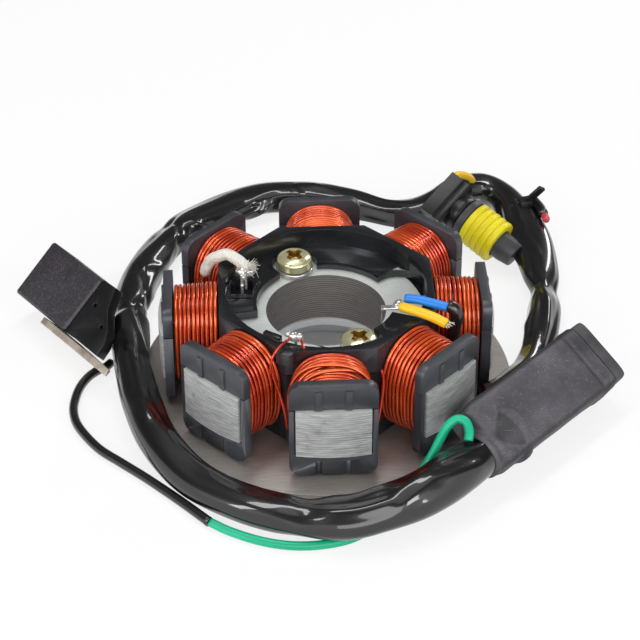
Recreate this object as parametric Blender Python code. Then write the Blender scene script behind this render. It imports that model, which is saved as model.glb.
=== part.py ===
# Wound stator of a small scooter magneto: eight coils on a laminated core, screwed to a steel
# base plate, with its harness sleeve, trigger pickup, sealed plug and rubber hood.
# Lengths in metres, +Z up. The origin is on the bore axis, at the underside of the base plate.
import math

import bmesh
import bpy
from mathutils import Matrix, Vector

# Clearances
GAP = 0.0003
SCREW_CLEARANCE = 0.0003

# Base plate: a pressed steel disc with a raised hub that carries the core
PLATE_RADIUS = 0.0495
PLATE_SHEET = 0.0020
PLATE_EDGE_ROUND = 0.0004
HUB_TOP_RADIUS = 0.0232
HUB_FOOT_RADIUS = 0.0243
HUB_FOOT_ROUND = 0.0006
HUB_HOLE_RADIUS = 0.0153
HUB_HEIGHT = 0.0093
PLATE_STEPS = 56

# Laminated core
POLE_COUNT = 8
FIRST_POLE = math.radians(-90.0)
STACK_HEIGHT = 0.0139
BORE_RADIUS = 0.01575
RING_RADIUS = 0.0258
STEM_WIDTH = 0.0100
POLE_RADIUS = 0.0440
SHOE_WIDTH = 0.0190
SHOE_DEPTH = 0.0030
BORE_STEPS = 56

# Moulded frame with one bobbin on each pole
BOBBIN_WALL = 0.0010
WALL_FLAT_RADIUS = 0.0280
WALL_INNER_RADIUS = 0.0263
WALL_HEIGHT = 0.0072
FLANGE_WIDTH = 0.0223
SHOE_PROUD = 0.0016
FLANGE_DEPTH = 0.0024
FLANGE_RISE = 0.0074
FLANGE_DROP = 0.0068
FLANGE_TOP_CUT = 0.0018
FLANGE_FOOT_ROUND = 0.0030
RIB_WIDTH = 0.0016
RIB_PROUD = 0.0005
RIB_OFFSET = 0.0038
RIB_LENGTH = 0.0058
FLOOR_HEIGHT = 0.0022
FLOOR_INNER_RADIUS = 0.0182
LOBE_RADIUS = 0.0068
LOBE_CENTRE = (0.0196, 0.0069)
SCREW_RELIEF = 0.0061

# Coils
TURN_COUNT = 10
COIL_HALF_WIDTH = 0.0106
COIL_RISE = 0.0136
COIL_TAPER = 0.0007
COIL_RIDGE = 0.00035
COIL_FULLNESS = 2.6
COIL_SIDES = 16

# Screws and washers between the poles
SCREW_CIRCLE_RADIUS = 0.0200
SCREW_ANGLES = (math.radians(112.5), math.radians(-67.5))
SHANK_RADIUS = 0.0025
SHANK_TAIL = 0.0022
HEAD_RADIUS = 0.0046
HEAD_HEIGHT = 0.0028
RECESS_SPAN = 0.0050
RECESS_WIDTH = 0.0012
RECESS_DEPTH = 0.0014
WASHER_RADIUS = 0.0050
WASHER_SHEET = 0.0010

# Leads and harness
LEAD_DIAMETER = 0.0028
TAIL_DIAMETER = 0.0009
SLEEVE_DIAMETER = 0.0096
SLEEVE_SLIM = 0.83
SLEEVE_SWELL = (0.14, 0.20)
SLEEVE_SPACING = 0.0085
TIE_NEAR = (0.0583, 0.0736, 0.0053)
PICKUP_SLEEVE_DIAMETER = 0.0026
GREEN_WIRE_DIAMETER = 0.0020

# Rubber hood on the multi-pin plug
HOOD_LENGTH = 0.0444
HOOD_WIDTH = 0.0190
HOOD_DEPTH = 0.0120
HOOD_WALL = 0.0013
HOOD_MOUTH_DEPTH = 0.0120
HOOD_TILT = math.radians(31.0)
HOOD_TURN = math.radians(45.3)
HOOD_ORIGIN = (0.0364, -0.0412, 0.0106)
NECK_RADIUS = 0.0062
NECK_ROOT_RADIUS = 0.0078
NECK_OFFSET = (-0.0026, -0.0004)
NECK_BORE_DEPTH = 0.0040
PLUG_PROUD = 0.0042

# Trigger pickup
PICKUP_LENGTH = 0.0237
PICKUP_WIDTH = 0.0174
PICKUP_DEPTH = 0.0116
PICKUP_COVER_WALL = 0.0015
PICKUP_SLACK = 0.0006
PICKUP_EAR_SHEET = 0.0036
PICKUP_EAR_INSET = 0.0006
PICKUP_TILT = math.radians(39.0)
PICKUP_TURN = math.radians(-53.2)
PICKUP_ORIGIN = (-0.0847, 0.0325)
PICKUP_FOOT_SHEET = 0.0019

# Sealed plug
SEAL_RADIUS = 0.0065
SEAL_LENGTH = 0.0122
SEAL_RIBS = 4
SEAL_GROOVE = 0.0006
BARREL_RADIUS = 0.0058
BARREL_LENGTH = 0.0034
COLLAR_RADIUS = 0.0063
COLLAR_LENGTH = 0.0022
PLUG_BOX = (0.0070, 0.0142, 0.0085)
SEALED_PLUG_AXIS = (0.715, -0.615, -0.33)
SEALED_PLUG_ACROSS = (0.688, 0.540, 0.483)
SEALED_PLUG_CENTRE = (0.0490, 0.0546, 0.0087)

CORE_BOTTOM = HUB_HEIGHT + GAP
CORE_TOP = CORE_BOTTOM + STACK_HEIGHT
UPPER_BOTTOM = CORE_TOP + GAP
LOWER_TOP = CORE_TOP
LOWER_BOTTOM = CORE_BOTTOM - FLANGE_DROP
FLANGE_TOP = UPPER_BOTTOM + FLANGE_RISE
WALL_TOP = UPPER_BOTTOM + WALL_HEIGHT
FLOOR_TOP = UPPER_BOTTOM + FLOOR_HEIGHT
CHANNEL_HALF = STEM_WIDTH / 2 + GAP + BOBBIN_WALL
CHANNEL_BOTTOM = CORE_BOTTOM - GAP - BOBBIN_WALL
CHANNEL_TOP = UPPER_BOTTOM + BOBBIN_WALL
FLANGE_FACE_RADIUS = POLE_RADIUS - SHOE_PROUD
FLANGE_BACK_RADIUS = FLANGE_FACE_RADIUS - FLANGE_DEPTH
SHOE_BACK_RADIUS = POLE_RADIUS - SHOE_DEPTH
FRAME_CLEAR_RADIUS = RING_RADIUS + GAP
POLE_STEP = 2 * math.pi / POLE_COUNT


def clear_scene():
    for item in list(bpy.data.objects):
        bpy.data.objects.remove(item)


def finish(name, colour, roughness, metallic=0.0):
    material = bpy.data.materials.new(name)
    material.use_nodes = True
    shader = material.node_tree.nodes["Principled BSDF"]
    shader.inputs["Base Color"].default_value = (*colour, 1.0)
    shader.inputs["Roughness"].default_value = roughness
    shader.inputs["Metallic"].default_value = metallic
    return material


def add_object(name, bm, material=None, smooth=None):
    mesh = bpy.data.meshes.new(name)
    bmesh.ops.recalc_face_normals(bm, faces=bm.faces)
    bm.to_mesh(mesh)
    bm.free()
    if smooth is not None:
        mesh.shade_smooth()
        mesh.set_sharp_from_angle(angle=smooth)
    item = bpy.data.objects.new(name, mesh)
    bpy.context.scene.collection.objects.link(item)
    if material:
        mesh.materials.append(material)
    return item


def prism(outline, low, high):
    """A straight extrusion of an outline in the XY plane."""
    bm = bmesh.new()
    base = bm.faces.new([bm.verts.new((x, y, low)) for x, y in outline])
    top = bmesh.ops.extrude_face_region(bm, geom=[base])
    moved = [v for v in top["geom"] if isinstance(v, bmesh.types.BMVert)]
    bmesh.ops.translate(bm, verts=moved, vec=(0, 0, high - low))
    bmesh.ops.recalc_face_normals(bm, faces=bm.faces)
    return bm


def block(low, high):
    outline = [(low[0], low[1]), (high[0], low[1]), (high[0], high[1]), (low[0], high[1])]
    return prism(outline, low[2], high[2])


def circle(radius, steps, centre=(0.0, 0.0), start=0.0):
    turn = 2 * math.pi / steps
    return [(centre[0] + radius * math.cos(start + turn * i),
             centre[1] + radius * math.sin(start + turn * i)) for i in range(steps)]


def arc(radius, first, last, steps, centre=(0.0, 0.0)):
    angles = [first + (last - first) * i / steps for i in range(steps + 1)]
    return [(centre[0] + radius * math.cos(a), centre[1] + radius * math.sin(a)) for a in angles]


def turned(profile, steps):
    """A closed profile of (radius, height) points, spun about Z."""
    bm = bmesh.new()
    points = [bm.verts.new((r, 0, z)) for r, z in profile]
    edges = [bm.edges.new((points[i - 1], points[i])) for i in range(len(points))]
    bmesh.ops.spin(bm, geom=points + edges, cent=(0, 0, 0), axis=(0, 0, 1),
                   angle=2 * math.pi, steps=steps, use_merge=True)
    bmesh.ops.remove_doubles(bm, verts=bm.verts, dist=0.000001)
    bmesh.ops.recalc_face_normals(bm, faces=bm.faces)
    return bm


def solid_turned(profile, steps):
    """A profile from axis to axis, spun about Z into a solid."""
    bm = bmesh.new()
    points = [bm.verts.new((r, 0, z)) for r, z in profile]
    edges = [bm.edges.new((points[i], points[i + 1])) for i in range(len(points) - 1)]
    bmesh.ops.spin(bm, geom=points + edges, cent=(0, 0, 0), axis=(0, 0, 1),
                   angle=2 * math.pi, steps=steps, use_merge=True)
    bmesh.ops.remove_doubles(bm, verts=bm.verts, dist=0.000001)
    bmesh.ops.recalc_face_normals(bm, faces=bm.faces)
    return bm


def loft(sections, closed_ends=True):
    """Rings of points with equal counts, bridged in order."""
    bm = bmesh.new()
    rings = [[bm.verts.new(p) for p in ring] for ring in sections]
    count = len(rings[0])
    for a, b in zip(rings, rings[1:]):
        for i in range(count):
            j = (i + 1) % count
            bm.faces.new((a[i], a[j], b[j], b[i]))
    if closed_ends:
        bm.faces.new(rings[0][::-1])
        bm.faces.new(rings[-1])
    bmesh.ops.recalc_face_normals(bm, faces=bm.faces)
    return bm


def rounded(half_x, half_y, fullness, steps, centre=(0.0, 0.0)):
    """A closed oval between an ellipse and a rectangle."""
    points = []
    for i in range(steps):
        a = 2 * math.pi * (i + 0.5) / steps
        c, s = math.cos(a), math.sin(a)
        x = half_x * math.copysign(abs(c) ** (2 / fullness), c)
        y = half_y * math.copysign(abs(s) ** (2 / fullness), s)
        points.append((centre[0] + x, centre[1] + y))
    return points


def place(bm, matrix):
    bmesh.ops.transform(bm, matrix=matrix, verts=bm.verts)
    return bm


def shape(target, tools, operation):
    """Applies Boolean operations with each tool mesh in turn and leaves no tool behind."""
    helpers = []
    for index, bm in enumerate(tools):
        tool = add_object("tool_%d" % index, bm)
        tool.hide_render = True
        tool.display_type = "WIRE"
        helpers.append(tool)
        cut = target.modifiers.new("cut", "BOOLEAN")
        cut.operation = operation
        cut.solver = "EXACT"
        cut.object = tool
    bpy.context.view_layer.update()
    graph = bpy.context.evaluated_depsgraph_get()
    result = bpy.data.meshes.new_from_object(target.evaluated_get(graph))
    target.modifiers.clear()
    target.data = result
    for tool in helpers:
        bpy.data.objects.remove(tool)
    return target


def mesh_of(item):
    """The object's mesh as a loose bmesh; the object itself is removed."""
    bm = bmesh.new()
    bm.from_mesh(item.data)
    bpy.data.objects.remove(item)
    return bm


def sharp(item, degrees=30.0):
    item.data.shade_smooth()
    item.data.set_sharp_from_angle(angle=math.radians(degrees))
    return item


def bevelled(item, width, segments=1, degrees=40.0):
    bevel = item.modifiers.new("bevel", "BEVEL")
    bevel.width = width
    bevel.segments = segments
    bevel.limit_method = "ANGLE"
    bevel.angle_limit = math.radians(degrees)
    return item


def smooth_route(points, spacing):
    """Points about one spacing apart along a smooth curve through the given ones."""
    knots = [Vector(p) for p in points]
    knots = [2 * knots[0] - knots[1]] + knots + [2 * knots[-1] - knots[-2]]
    route = []
    for a, b, c, d in zip(knots, knots[1:], knots[2:], knots[3:]):
        steps = max(1, round((c - b).length / spacing))
        for i in range(steps):
            t = i / steps
            route.append(0.5 * (2 * b + (c - a) * t + (2 * a - 5 * b + 4 * c - d) * t * t
                                + (3 * b - a - 3 * c + d) * t ** 3))
    route.append(knots[-2])
    return route


def tube(name, points, diameter, material, spacing, roundness=2, slim=1.0, swell=(0.0, 0.0)):
    """A filled tube; a slimmer start swells to full size between two shares of the length."""
    curve = bpy.data.curves.new(name, "CURVE")
    curve.dimensions = "3D"
    curve.bevel_depth = diameter / 2
    curve.bevel_resolution = roundness
    curve.use_fill_caps = True
    route = smooth_route(points, spacing)
    line = curve.splines.new("POLY")
    line.points.add(len(route) - 1)
    for index, (target, p) in enumerate(zip(line.points, route)):
        target.co = (*p, 1.0)
        share = index / (len(route) - 1)
        rise = min(1.0, max(0.0, (share - swell[0]) / max(swell[1] - swell[0], 0.000001)))
        target.radius = slim + (1.0 - slim) * rise
    curve.materials.append(material)
    item = bpy.data.objects.new(name, curve)
    bpy.context.scene.collection.objects.link(item)
    return item


def pole_turn(index):
    return Matrix.Rotation(FIRST_POLE + POLE_STEP * index, 4, "Z")


def between(first_pole):
    """The angle of the gap that follows a pole."""
    return FIRST_POLE + POLE_STEP * (first_pole + 0.5)


def octagon(flat_radius):
    corner = flat_radius / math.cos(POLE_STEP / 2)
    return circle(corner, POLE_COUNT, start=FIRST_POLE + POLE_STEP / 2)


def base_plate(material):
    edge = PLATE_EDGE_ROUND
    sheet = PLATE_SHEET
    profile = [
        (PLATE_RADIUS - edge, 0.0),
        (PLATE_RADIUS, edge),
        (PLATE_RADIUS, sheet - edge),
        (PLATE_RADIUS - edge, sheet),
        (HUB_FOOT_RADIUS + HUB_FOOT_ROUND, sheet),
        (HUB_FOOT_RADIUS, sheet + HUB_FOOT_ROUND),
        (HUB_TOP_RADIUS, HUB_HEIGHT - HUB_FOOT_ROUND),
        (HUB_TOP_RADIUS - HUB_FOOT_ROUND, HUB_HEIGHT),
        (HUB_HOLE_RADIUS, HUB_HEIGHT),
        (HUB_HOLE_RADIUS, HUB_HEIGHT - sheet),
        (HUB_TOP_RADIUS - sheet, HUB_HEIGHT - sheet),
        (HUB_FOOT_RADIUS - sheet, 0.0),
    ]
    item = add_object("base_plate", turned(profile, PLATE_STEPS), material)
    hole = SHANK_RADIUS + SCREW_CLEARANCE
    cutters = [prism(circle(hole, 16, screw_centre(a)), 0.0, CORE_BOTTOM) for a in SCREW_ANGLES]
    return sharp(shape(item, cutters, "DIFFERENCE"))


def screw_centre(angle):
    return (SCREW_CIRCLE_RADIUS * math.cos(angle), SCREW_CIRCLE_RADIUS * math.sin(angle))


def core_outline():
    outline = []
    half_stem = STEM_WIDTH / 2
    half_shoe = SHOE_WIDTH / 2
    root = math.asin(half_stem / RING_RADIUS)
    tip = math.asin(half_shoe / POLE_RADIUS)
    for index in range(POLE_COUNT):
        turn = FIRST_POLE + POLE_STEP * index
        local = [(SHOE_BACK_RADIUS, -half_stem), (SHOE_BACK_RADIUS, -half_shoe)]
        local += arc(POLE_RADIUS, -tip, tip, 6)
        local += [(SHOE_BACK_RADIUS, half_shoe), (SHOE_BACK_RADIUS, half_stem)]
        local += arc(RING_RADIUS, root, POLE_STEP - root, 3)
        c, s = math.cos(turn), math.sin(turn)
        outline += [(x * c - y * s, x * s + y * c) for x, y in local]
    return outline


def laminated_core(material):
    item = add_object("laminated_core", prism(core_outline(), CORE_BOTTOM, CORE_TOP), material)
    low, high = CORE_BOTTOM - 0.001, CORE_TOP + 0.001
    hole = SHANK_RADIUS + SCREW_CLEARANCE
    cutters = [prism(circle(BORE_RADIUS, BORE_STEPS), low, high)]
    cutters += [prism(circle(hole, 16, screw_centre(a)), low, high) for a in SCREW_ANGLES]
    return sharp(shape(item, cutters, "DIFFERENCE"))


def flange_outline(low, high, foot_round, top_cut):
    """Flange seen along its pole, as (across, height) points."""
    half = FLANGE_WIDTH / 2
    outline = []
    if foot_round:
        outline += arc(foot_round, math.radians(-180), math.radians(-90), 3,
                       (-half + foot_round, low + foot_round))
        outline += arc(foot_round, math.radians(-90), 0.0, 3,
                       (half - foot_round, low + foot_round))
    else:
        outline += [(-half, low), (half, low)]
    if top_cut:
        outline += [(half, high - top_cut), (half - top_cut, high)]
        outline += [(-half + top_cut, high), (-half, high - top_cut)]
    else:
        outline += [(half, high), (-half, high)]
    return outline


def flange_slab(outline):
    """The flange outline stood up on the pole that points along +X."""
    bm = prism(outline, FLANGE_BACK_RADIUS, FLANGE_FACE_RADIUS)
    upright = Matrix(((0, 0, 1, 0), (1, 0, 0, 0), (0, 1, 0, 0), (0, 0, 0, 1)))
    return place(bm, upright)


def lower_bobbin():
    item = add_object("bobbin", flange_slab(
        flange_outline(LOWER_BOTTOM, LOWER_TOP, FLANGE_FOOT_ROUND, 0.0)))
    channel = block((WALL_INNER_RADIUS + GAP, -CHANNEL_HALF, CHANNEL_BOTTOM),
                    (FLANGE_BACK_RADIUS + BOBBIN_WALL / 2, CHANNEL_HALF, LOWER_TOP))
    shape(item, [channel], "UNION")
    grooves = []
    for side in (-1, 1):
        middle = side * RIB_OFFSET
        low = (FLANGE_FACE_RADIUS - RIB_PROUD, middle - RIB_WIDTH / 2, LOWER_BOTTOM - 0.001)
        high = (POLE_RADIUS, middle + RIB_WIDTH / 2, CHANNEL_BOTTOM - BOBBIN_WALL)
        grooves.append(block(low, high))
    return shape(item, grooves, "DIFFERENCE")


def pole_slot():
    """Room for one stem and its shoe, open at the top."""
    slot = STEM_WIDTH / 2 + GAP
    pocket = SHOE_WIDTH / 2 + GAP
    inside = FRAME_CLEAR_RADIUS - 0.004
    step = SHOE_BACK_RADIUS - GAP
    outline = [(inside, -slot), (step, -slot), (step, -pocket), (POLE_RADIUS, -pocket),
               (POLE_RADIUS, pocket), (step, pocket), (step, slot), (inside, slot)]
    return prism(outline, CORE_BOTTOM - GAP, LOWER_TOP + 0.001)


def lower_frame(material):
    item = add_object("lower_frame", prism(octagon(WALL_FLAT_RADIUS), LOWER_BOTTOM, LOWER_TOP), material)
    unit = mesh_of(lower_bobbin())
    shape(item, [place(unit.copy(), pole_turn(index)) for index in range(POLE_COUNT)], "UNION")
    unit.free()
    bore = prism(circle(FRAME_CLEAR_RADIUS, BORE_STEPS), LOWER_BOTTOM - 0.001, LOWER_TOP + 0.001)
    shape(item, [bore], "DIFFERENCE")
    shape(item, [place(pole_slot(), pole_turn(index)) for index in range(POLE_COUNT)], "DIFFERENCE")
    return sharp(item)


def upper_bobbin():
    item = add_object("bobbin", flange_slab(
        flange_outline(UPPER_BOTTOM, FLANGE_TOP, 0.0, FLANGE_TOP_CUT)))
    cover = block((WALL_INNER_RADIUS + GAP, -CHANNEL_HALF, UPPER_BOTTOM),
                  (FLANGE_BACK_RADIUS + BOBBIN_WALL / 2, CHANNEL_HALF, CHANNEL_TOP))
    additions = [cover]
    for side in (-1, 1):
        middle = side * RIB_OFFSET
        additions.append(block((FLANGE_FACE_RADIUS - BOBBIN_WALL, middle - RIB_WIDTH / 2, UPPER_BOTTOM),
                               (FLANGE_FACE_RADIUS + RIB_PROUD, middle + RIB_WIDTH / 2,
                                UPPER_BOTTOM + RIB_LENGTH)))
    return shape(item, additions, "UNION")


def frame_floor():
    """Raised floor inside the frame wall: from the right lobe round the back to the left."""
    first, last = math.radians(10), math.radians(190)
    outer = WALL_INNER_RADIUS + 0.0006
    outline = arc(outer, first, last, 24) + arc(FLOOR_INNER_RADIUS, last, first, 20)
    return prism(outline, UPPER_BOTTOM, FLOOR_TOP)


def terminal_bed():
    """Block beside the right terminal, in front of the right lobe."""
    first, last = math.radians(-57), math.radians(-22)
    outline = arc(WALL_INNER_RADIUS + 0.0006, first, last, 6)
    outline += arc(FLOOR_INNER_RADIUS, last, first, 5)
    return prism(outline, UPPER_BOTTOM, FLOOR_TOP + 0.0012)


def left_terminal_bed():
    first, last = math.radians(152), math.radians(189)
    outline = arc(WALL_INNER_RADIUS + 0.0006, first, last, 6) + arc(0.0193, last, first, 5)
    return prism(outline, UPPER_BOTTOM + BOBBIN_WALL, FLOOR_TOP + 0.0014)


def coil_post():
    """Rounded post outside the wall where two coil tails come up."""
    bm = prism(rounded(0.0026, 0.0025, 3.5, 12, (0.0289, 0.0)), UPPER_BOTTOM + 0.0039, WALL_TOP + 0.0002)
    return place(bm, Matrix.Rotation(between(-1), 4, "Z"))


def wire_tab():
    bm = block((0.0252, -0.0024, UPPER_BOTTOM), (0.0266, 0.0024, WALL_TOP + 0.0010))
    return place(bm, Matrix.Rotation(math.radians(-124.0), 4, "Z"))


def upper_frame(material):
    item = add_object("upper_frame", prism(octagon(WALL_FLAT_RADIUS), UPPER_BOTTOM, WALL_TOP), material)
    bore = prism(circle(WALL_INNER_RADIUS, BORE_STEPS), UPPER_BOTTOM - 0.001, WALL_TOP + 0.001)
    shape(item, [bore], "DIFFERENCE")
    unit = mesh_of(upper_bobbin())
    additions = [place(unit.copy(), pole_turn(index)) for index in range(POLE_COUNT)]
    unit.free()
    additions += [frame_floor(), terminal_bed(), left_terminal_bed(), coil_post(), wire_tab()]
    shape(item, additions, "UNION")
    low, high = UPPER_BOTTOM - 0.001, WALL_TOP - 0.002
    cutters = [prism(circle(SCREW_RELIEF, 20, screw_centre(a)), low, high) for a in SCREW_ANGLES]
    cutters.append(prism(circle(LOBE_RADIUS, 20, LOBE_CENTRE), low, high))
    cutters.append(block((-0.0248, 0.0025, UPPER_BOTTOM + 0.0012), (-0.0190, 0.0086, high)))
    cutters.append(block((-0.0252, 0.0004, FLOOR_TOP), (-0.0190, 0.0010, high)))
    shape(item, cutters, "DIFFERENCE")
    return sharp(item)


def coil_shape():
    """Ridged winding round a pole that points along +X, with the bobbin's hole through it."""
    start = WALL_FLAT_RADIUS + GAP
    stop = FLANGE_BACK_RADIUS - GAP
    pitch = (stop - start) / TURN_COUNT
    middle = (LOWER_BOTTOM + FLANGE_TOP) / 2 + 0.0003
    hole_half = CHANNEL_HALF + GAP
    hole_low = CHANNEL_BOTTOM - GAP
    hole_high = CHANNEL_TOP + GAP
    rings = []
    for step in range(2 * TURN_COUNT + 1):
        valley = step % 2 == 0
        share = step / (2 * TURN_COUNT)
        shrink = COIL_TAPER * share + (COIL_RIDGE if valley else 0.0)
        oval = rounded(COIL_HALF_WIDTH - shrink, COIL_RISE - shrink, COIL_FULLNESS,
                       COIL_SIDES, (0.0, middle))
        rings.append([(start + pitch * step / 2, y, z) for y, z in oval])
    inner = []
    for y, z in rounded(1.0, 1.0, 60.0, COIL_SIDES):
        height = hole_low + (hole_high - hole_low) * (z + 1) / 2
        inner.append((y * hole_half, height))
    rings.append([(stop, y, z) for y, z in inner])
    rings.append([(start, y, z) for y, z in inner])
    rings.append(rings[0])
    bm = loft(rings, closed_ends=False)
    bmesh.ops.remove_doubles(bm, verts=bm.verts, dist=0.000001)
    return bm


def coils(material):
    first = add_object("coil_1", coil_shape(), material)
    sharp(first, 60.0)
    for index in range(1, POLE_COUNT):
        item = bpy.data.objects.new("coil_%d" % (index + 1), first.data)
        bpy.context.scene.collection.objects.link(item)
        item.matrix_world = pole_turn(index)
    first.matrix_world = pole_turn(0)


def screw(index, angle, material):
    seat = UPPER_BOTTOM + WASHER_SHEET + GAP
    top = seat + HEAD_HEIGHT
    dome = HEAD_HEIGHT * 0.45
    profile = [
        (0.0, HUB_HEIGHT - PLATE_SHEET - SHANK_TAIL),
        (SHANK_RADIUS - 0.0004, HUB_HEIGHT - PLATE_SHEET - SHANK_TAIL),
        (SHANK_RADIUS, HUB_HEIGHT - PLATE_SHEET - SHANK_TAIL + 0.0004),
        (SHANK_RADIUS, seat),
        (HEAD_RADIUS, seat),
        (HEAD_RADIUS, top - dome),
        (HEAD_RADIUS * 0.90, top - dome * 0.45),
        (HEAD_RADIUS * 0.68, top - dome * 0.10),
        (HEAD_RADIUS * 0.42, top),
        (0.0, top),
    ]
    item = add_object("screw_%d" % index, solid_turned(profile, 24), material)
    half, reach = RECESS_WIDTH / 2, RECESS_SPAN / 2
    low, high = top - RECESS_DEPTH, top + 0.001
    arms = [block((-reach, -half, low), (reach, half, high)),
            block((-half, -reach, low), (half, reach, high))]
    shape(item, arms, "DIFFERENCE")
    x, y = screw_centre(angle)
    item.location = (x, y, 0.0)
    item.rotation_euler = (0.0, 0.0, angle + 0.4)
    return sharp(item)


def washer(index, angle, material):
    inner = SHANK_RADIUS + SCREW_CLEARANCE
    low, high = UPPER_BOTTOM, UPPER_BOTTOM + WASHER_SHEET
    profile = [(inner, low), (WASHER_RADIUS, low), (WASHER_RADIUS, high), (inner, high)]
    item = add_object("washer_%d" % index, turned(profile, 24), material)
    x, y = screw_centre(angle)
    item.location = (x, y, 0.0)
    return sharp(item)


def blob(centre, size, squash=(1.0, 1.0, 1.0)):
    bm = bmesh.new()
    bmesh.ops.create_icosphere(bm, subdivisions=2, radius=size)
    bmesh.ops.scale(bm, vec=squash, verts=bm.verts)
    bmesh.ops.translate(bm, vec=centre, verts=bm.verts)
    return bm


def left_terminal(material):
    """Two pins in the left bed, joined by solder at the top."""
    base = UPPER_BOTTOM + 0.0012 + GAP
    item = add_object("left_terminal", block((-0.0222, 0.0046, base), (-0.0214, 0.0054, 0.0312)), material)
    additions = [block((-0.0222, 0.0066, base), (-0.0214, 0.0074, 0.0312)),
                 blob((-0.0208, 0.0072, 0.0315), 0.0019, (1.5, 1.0, 0.8)),
                 blob((-0.0215, 0.0052, 0.0310), 0.0010)]
    return sharp(shape(item, additions, "UNION"), 50.0)


def right_terminal(material):
    """Upright strip at the bore side of the right bed, with a solder joint on top."""
    top = 0.0302
    item = add_object("right_terminal", block((0.01375, -0.0098, UPPER_BOTTOM), (0.0141, -0.0080, top)), material)
    additions = [block((0.01375, -0.0096, top - 0.0006), (0.0186, -0.0078, top)),
                 blob((0.0186, -0.0078, 0.0303), 0.0014, (1.2, 1.0, 0.9))]
    return sharp(shape(item, additions, "UNION"), 50.0)


def front_terminal(material):
    """Solder joint on its pin, on the bore side of the coil post."""
    item = add_object("front_terminal", block((-0.0090, -0.0230, UPPER_BOTTOM), (-0.0082, -0.0222, 0.0310)), material)
    additions = [blob((-0.0086, -0.0226, 0.0314), 0.0014, (1.4, 1.0, 0.8))]
    return sharp(shape(item, additions, "UNION"), 50.0)


def leads(white, blue, yellow, black, copper):
    tube("white_lead", [(-0.0326, 0.0134, 0.0160), (-0.0326, 0.0134, 0.0230), (-0.0322, 0.0130, 0.0294),
                        (-0.0298, 0.0118, 0.0326), (-0.0266, 0.0104, 0.0331), (-0.0236, 0.0090, 0.0330)],
         LEAD_DIAMETER, white, 0.0035)
    tube("blue_lead", [(0.0198, -0.0093, 0.0328), (0.0235, -0.0105, 0.0330), (0.0275, -0.0120, 0.0330),
                       (0.0307, -0.0133, 0.0328)], LEAD_DIAMETER, blue, 0.0030)
    tube("yellow_lead", [(0.0184, -0.0123, 0.0328), (0.0222, -0.0147, 0.0330), (0.0262, -0.0174, 0.0330),
                         (0.0297, -0.0198, 0.0324)], LEAD_DIAMETER, yellow, 0.0030)
    tube("outgoing_lead", [(0.0325, -0.0137, 0.0322), (0.0330, -0.0138, 0.0300), (0.0322, -0.0134, 0.0250),
                           (0.0316, -0.0131, 0.0180), (0.0318, -0.0132, 0.0120), (0.0334, -0.0139, 0.0078),
                           (0.0362, -0.0149, 0.0065), (0.0390, -0.0159, 0.0064)], 0.0034, black, 0.0040)
    tube("coil_tail_1", [(-0.0099, -0.0242, 0.0326), (-0.0122, -0.0272, 0.0329), (-0.0144, -0.0296, 0.0316),
                         (-0.0152, -0.0306, 0.0290), (-0.0152, -0.0308, 0.0264)],
         TAIL_DIAMETER, copper, 0.0020)
    tube("coil_tail_2", [(-0.0077, -0.0244, 0.0326), (-0.0073, -0.0273, 0.0336), (-0.0068, -0.0298, 0.0334)],
         TAIL_DIAMETER, copper, 0.0020)


def harness_route():
    """From the gap beside the right pole, round the back, the left and the front, to the hood."""
    flat = SLEEVE_DIAMETER / 2
    low = SLEEVE_DIAMETER / 2 * SLEEVE_SLIM
    over = PLATE_SHEET + GAP + low
    return [
        (0.0402, -0.0164, over), (0.0429, -0.0158, over), (0.0460, -0.0136, over + 0.0001),
        (0.0496, -0.0096, over), (0.0529, -0.0044, 0.0051), (0.0558, 0.0026, low + 0.0001),
        (0.0588, 0.0120, low),
        (0.0612, 0.0230, low), (0.0626, 0.0340, low), (0.0632, 0.0460, flat), (0.0626, 0.0580, flat),
        (0.0604, 0.0690, flat), (0.0562, 0.0782, 0.0058), (0.0500, 0.0824, 0.0080), (0.0430, 0.0798, 0.0083),
        (0.0366, 0.0752, 0.0062), (0.0298, 0.0728, flat), (0.0218, 0.0734, flat), (0.0106, 0.0786, flat), (-0.0039, 0.0838, flat),
        (-0.0150, 0.0860, flat), (-0.0245, 0.0832, flat), (-0.0336, 0.0772, flat), (-0.0415, 0.0700, flat),
        (-0.0464, 0.0612, flat), (-0.0500, 0.0520, flat), (-0.0524, 0.0420, flat), (-0.0536, 0.0310, flat),
        (-0.0535, 0.0200, flat + 0.0003), (-0.0524, 0.0080, 0.0066), (-0.0508, -0.0050, 0.0077),
        (-0.0484, -0.0180, 0.0077), (-0.0437, -0.0318, 0.0062), (-0.0349, -0.0448, flat),
        (-0.0222, -0.0545, flat), (-0.0092, -0.0596, flat + 0.0002), (0.0010, -0.0604, 0.0062),
        (0.0095, -0.0594, 0.0073), (0.0180, -0.0570, 0.0077), (0.0248, -0.0534, 0.0082),
        (0.0302, -0.0495, 0.0087), (0.0343, -0.0461, 0.0089), (0.0378, -0.0426, 0.0089),
        (0.0400, -0.0404, 0.0089),
    ]


def pickup_sleeve_route():
    flat = PICKUP_SLEEVE_DIAMETER / 2
    return [
        (-0.0578, 0.0088, flat), (-0.0590, 0.0070, flat), (-0.0610, 0.0056, flat), (-0.0634, 0.0030, flat),
        (-0.0654, -0.0010, flat), (-0.0666, -0.0060, flat), (-0.0669, -0.0120, flat),
        (-0.0652, -0.0186, flat), (-0.0600, -0.0272, flat), (-0.0541, -0.0332, flat),
        (-0.0473, -0.0398, flat), (-0.0390, -0.0486, flat), (-0.0314, -0.0572, flat),
    ]


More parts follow.
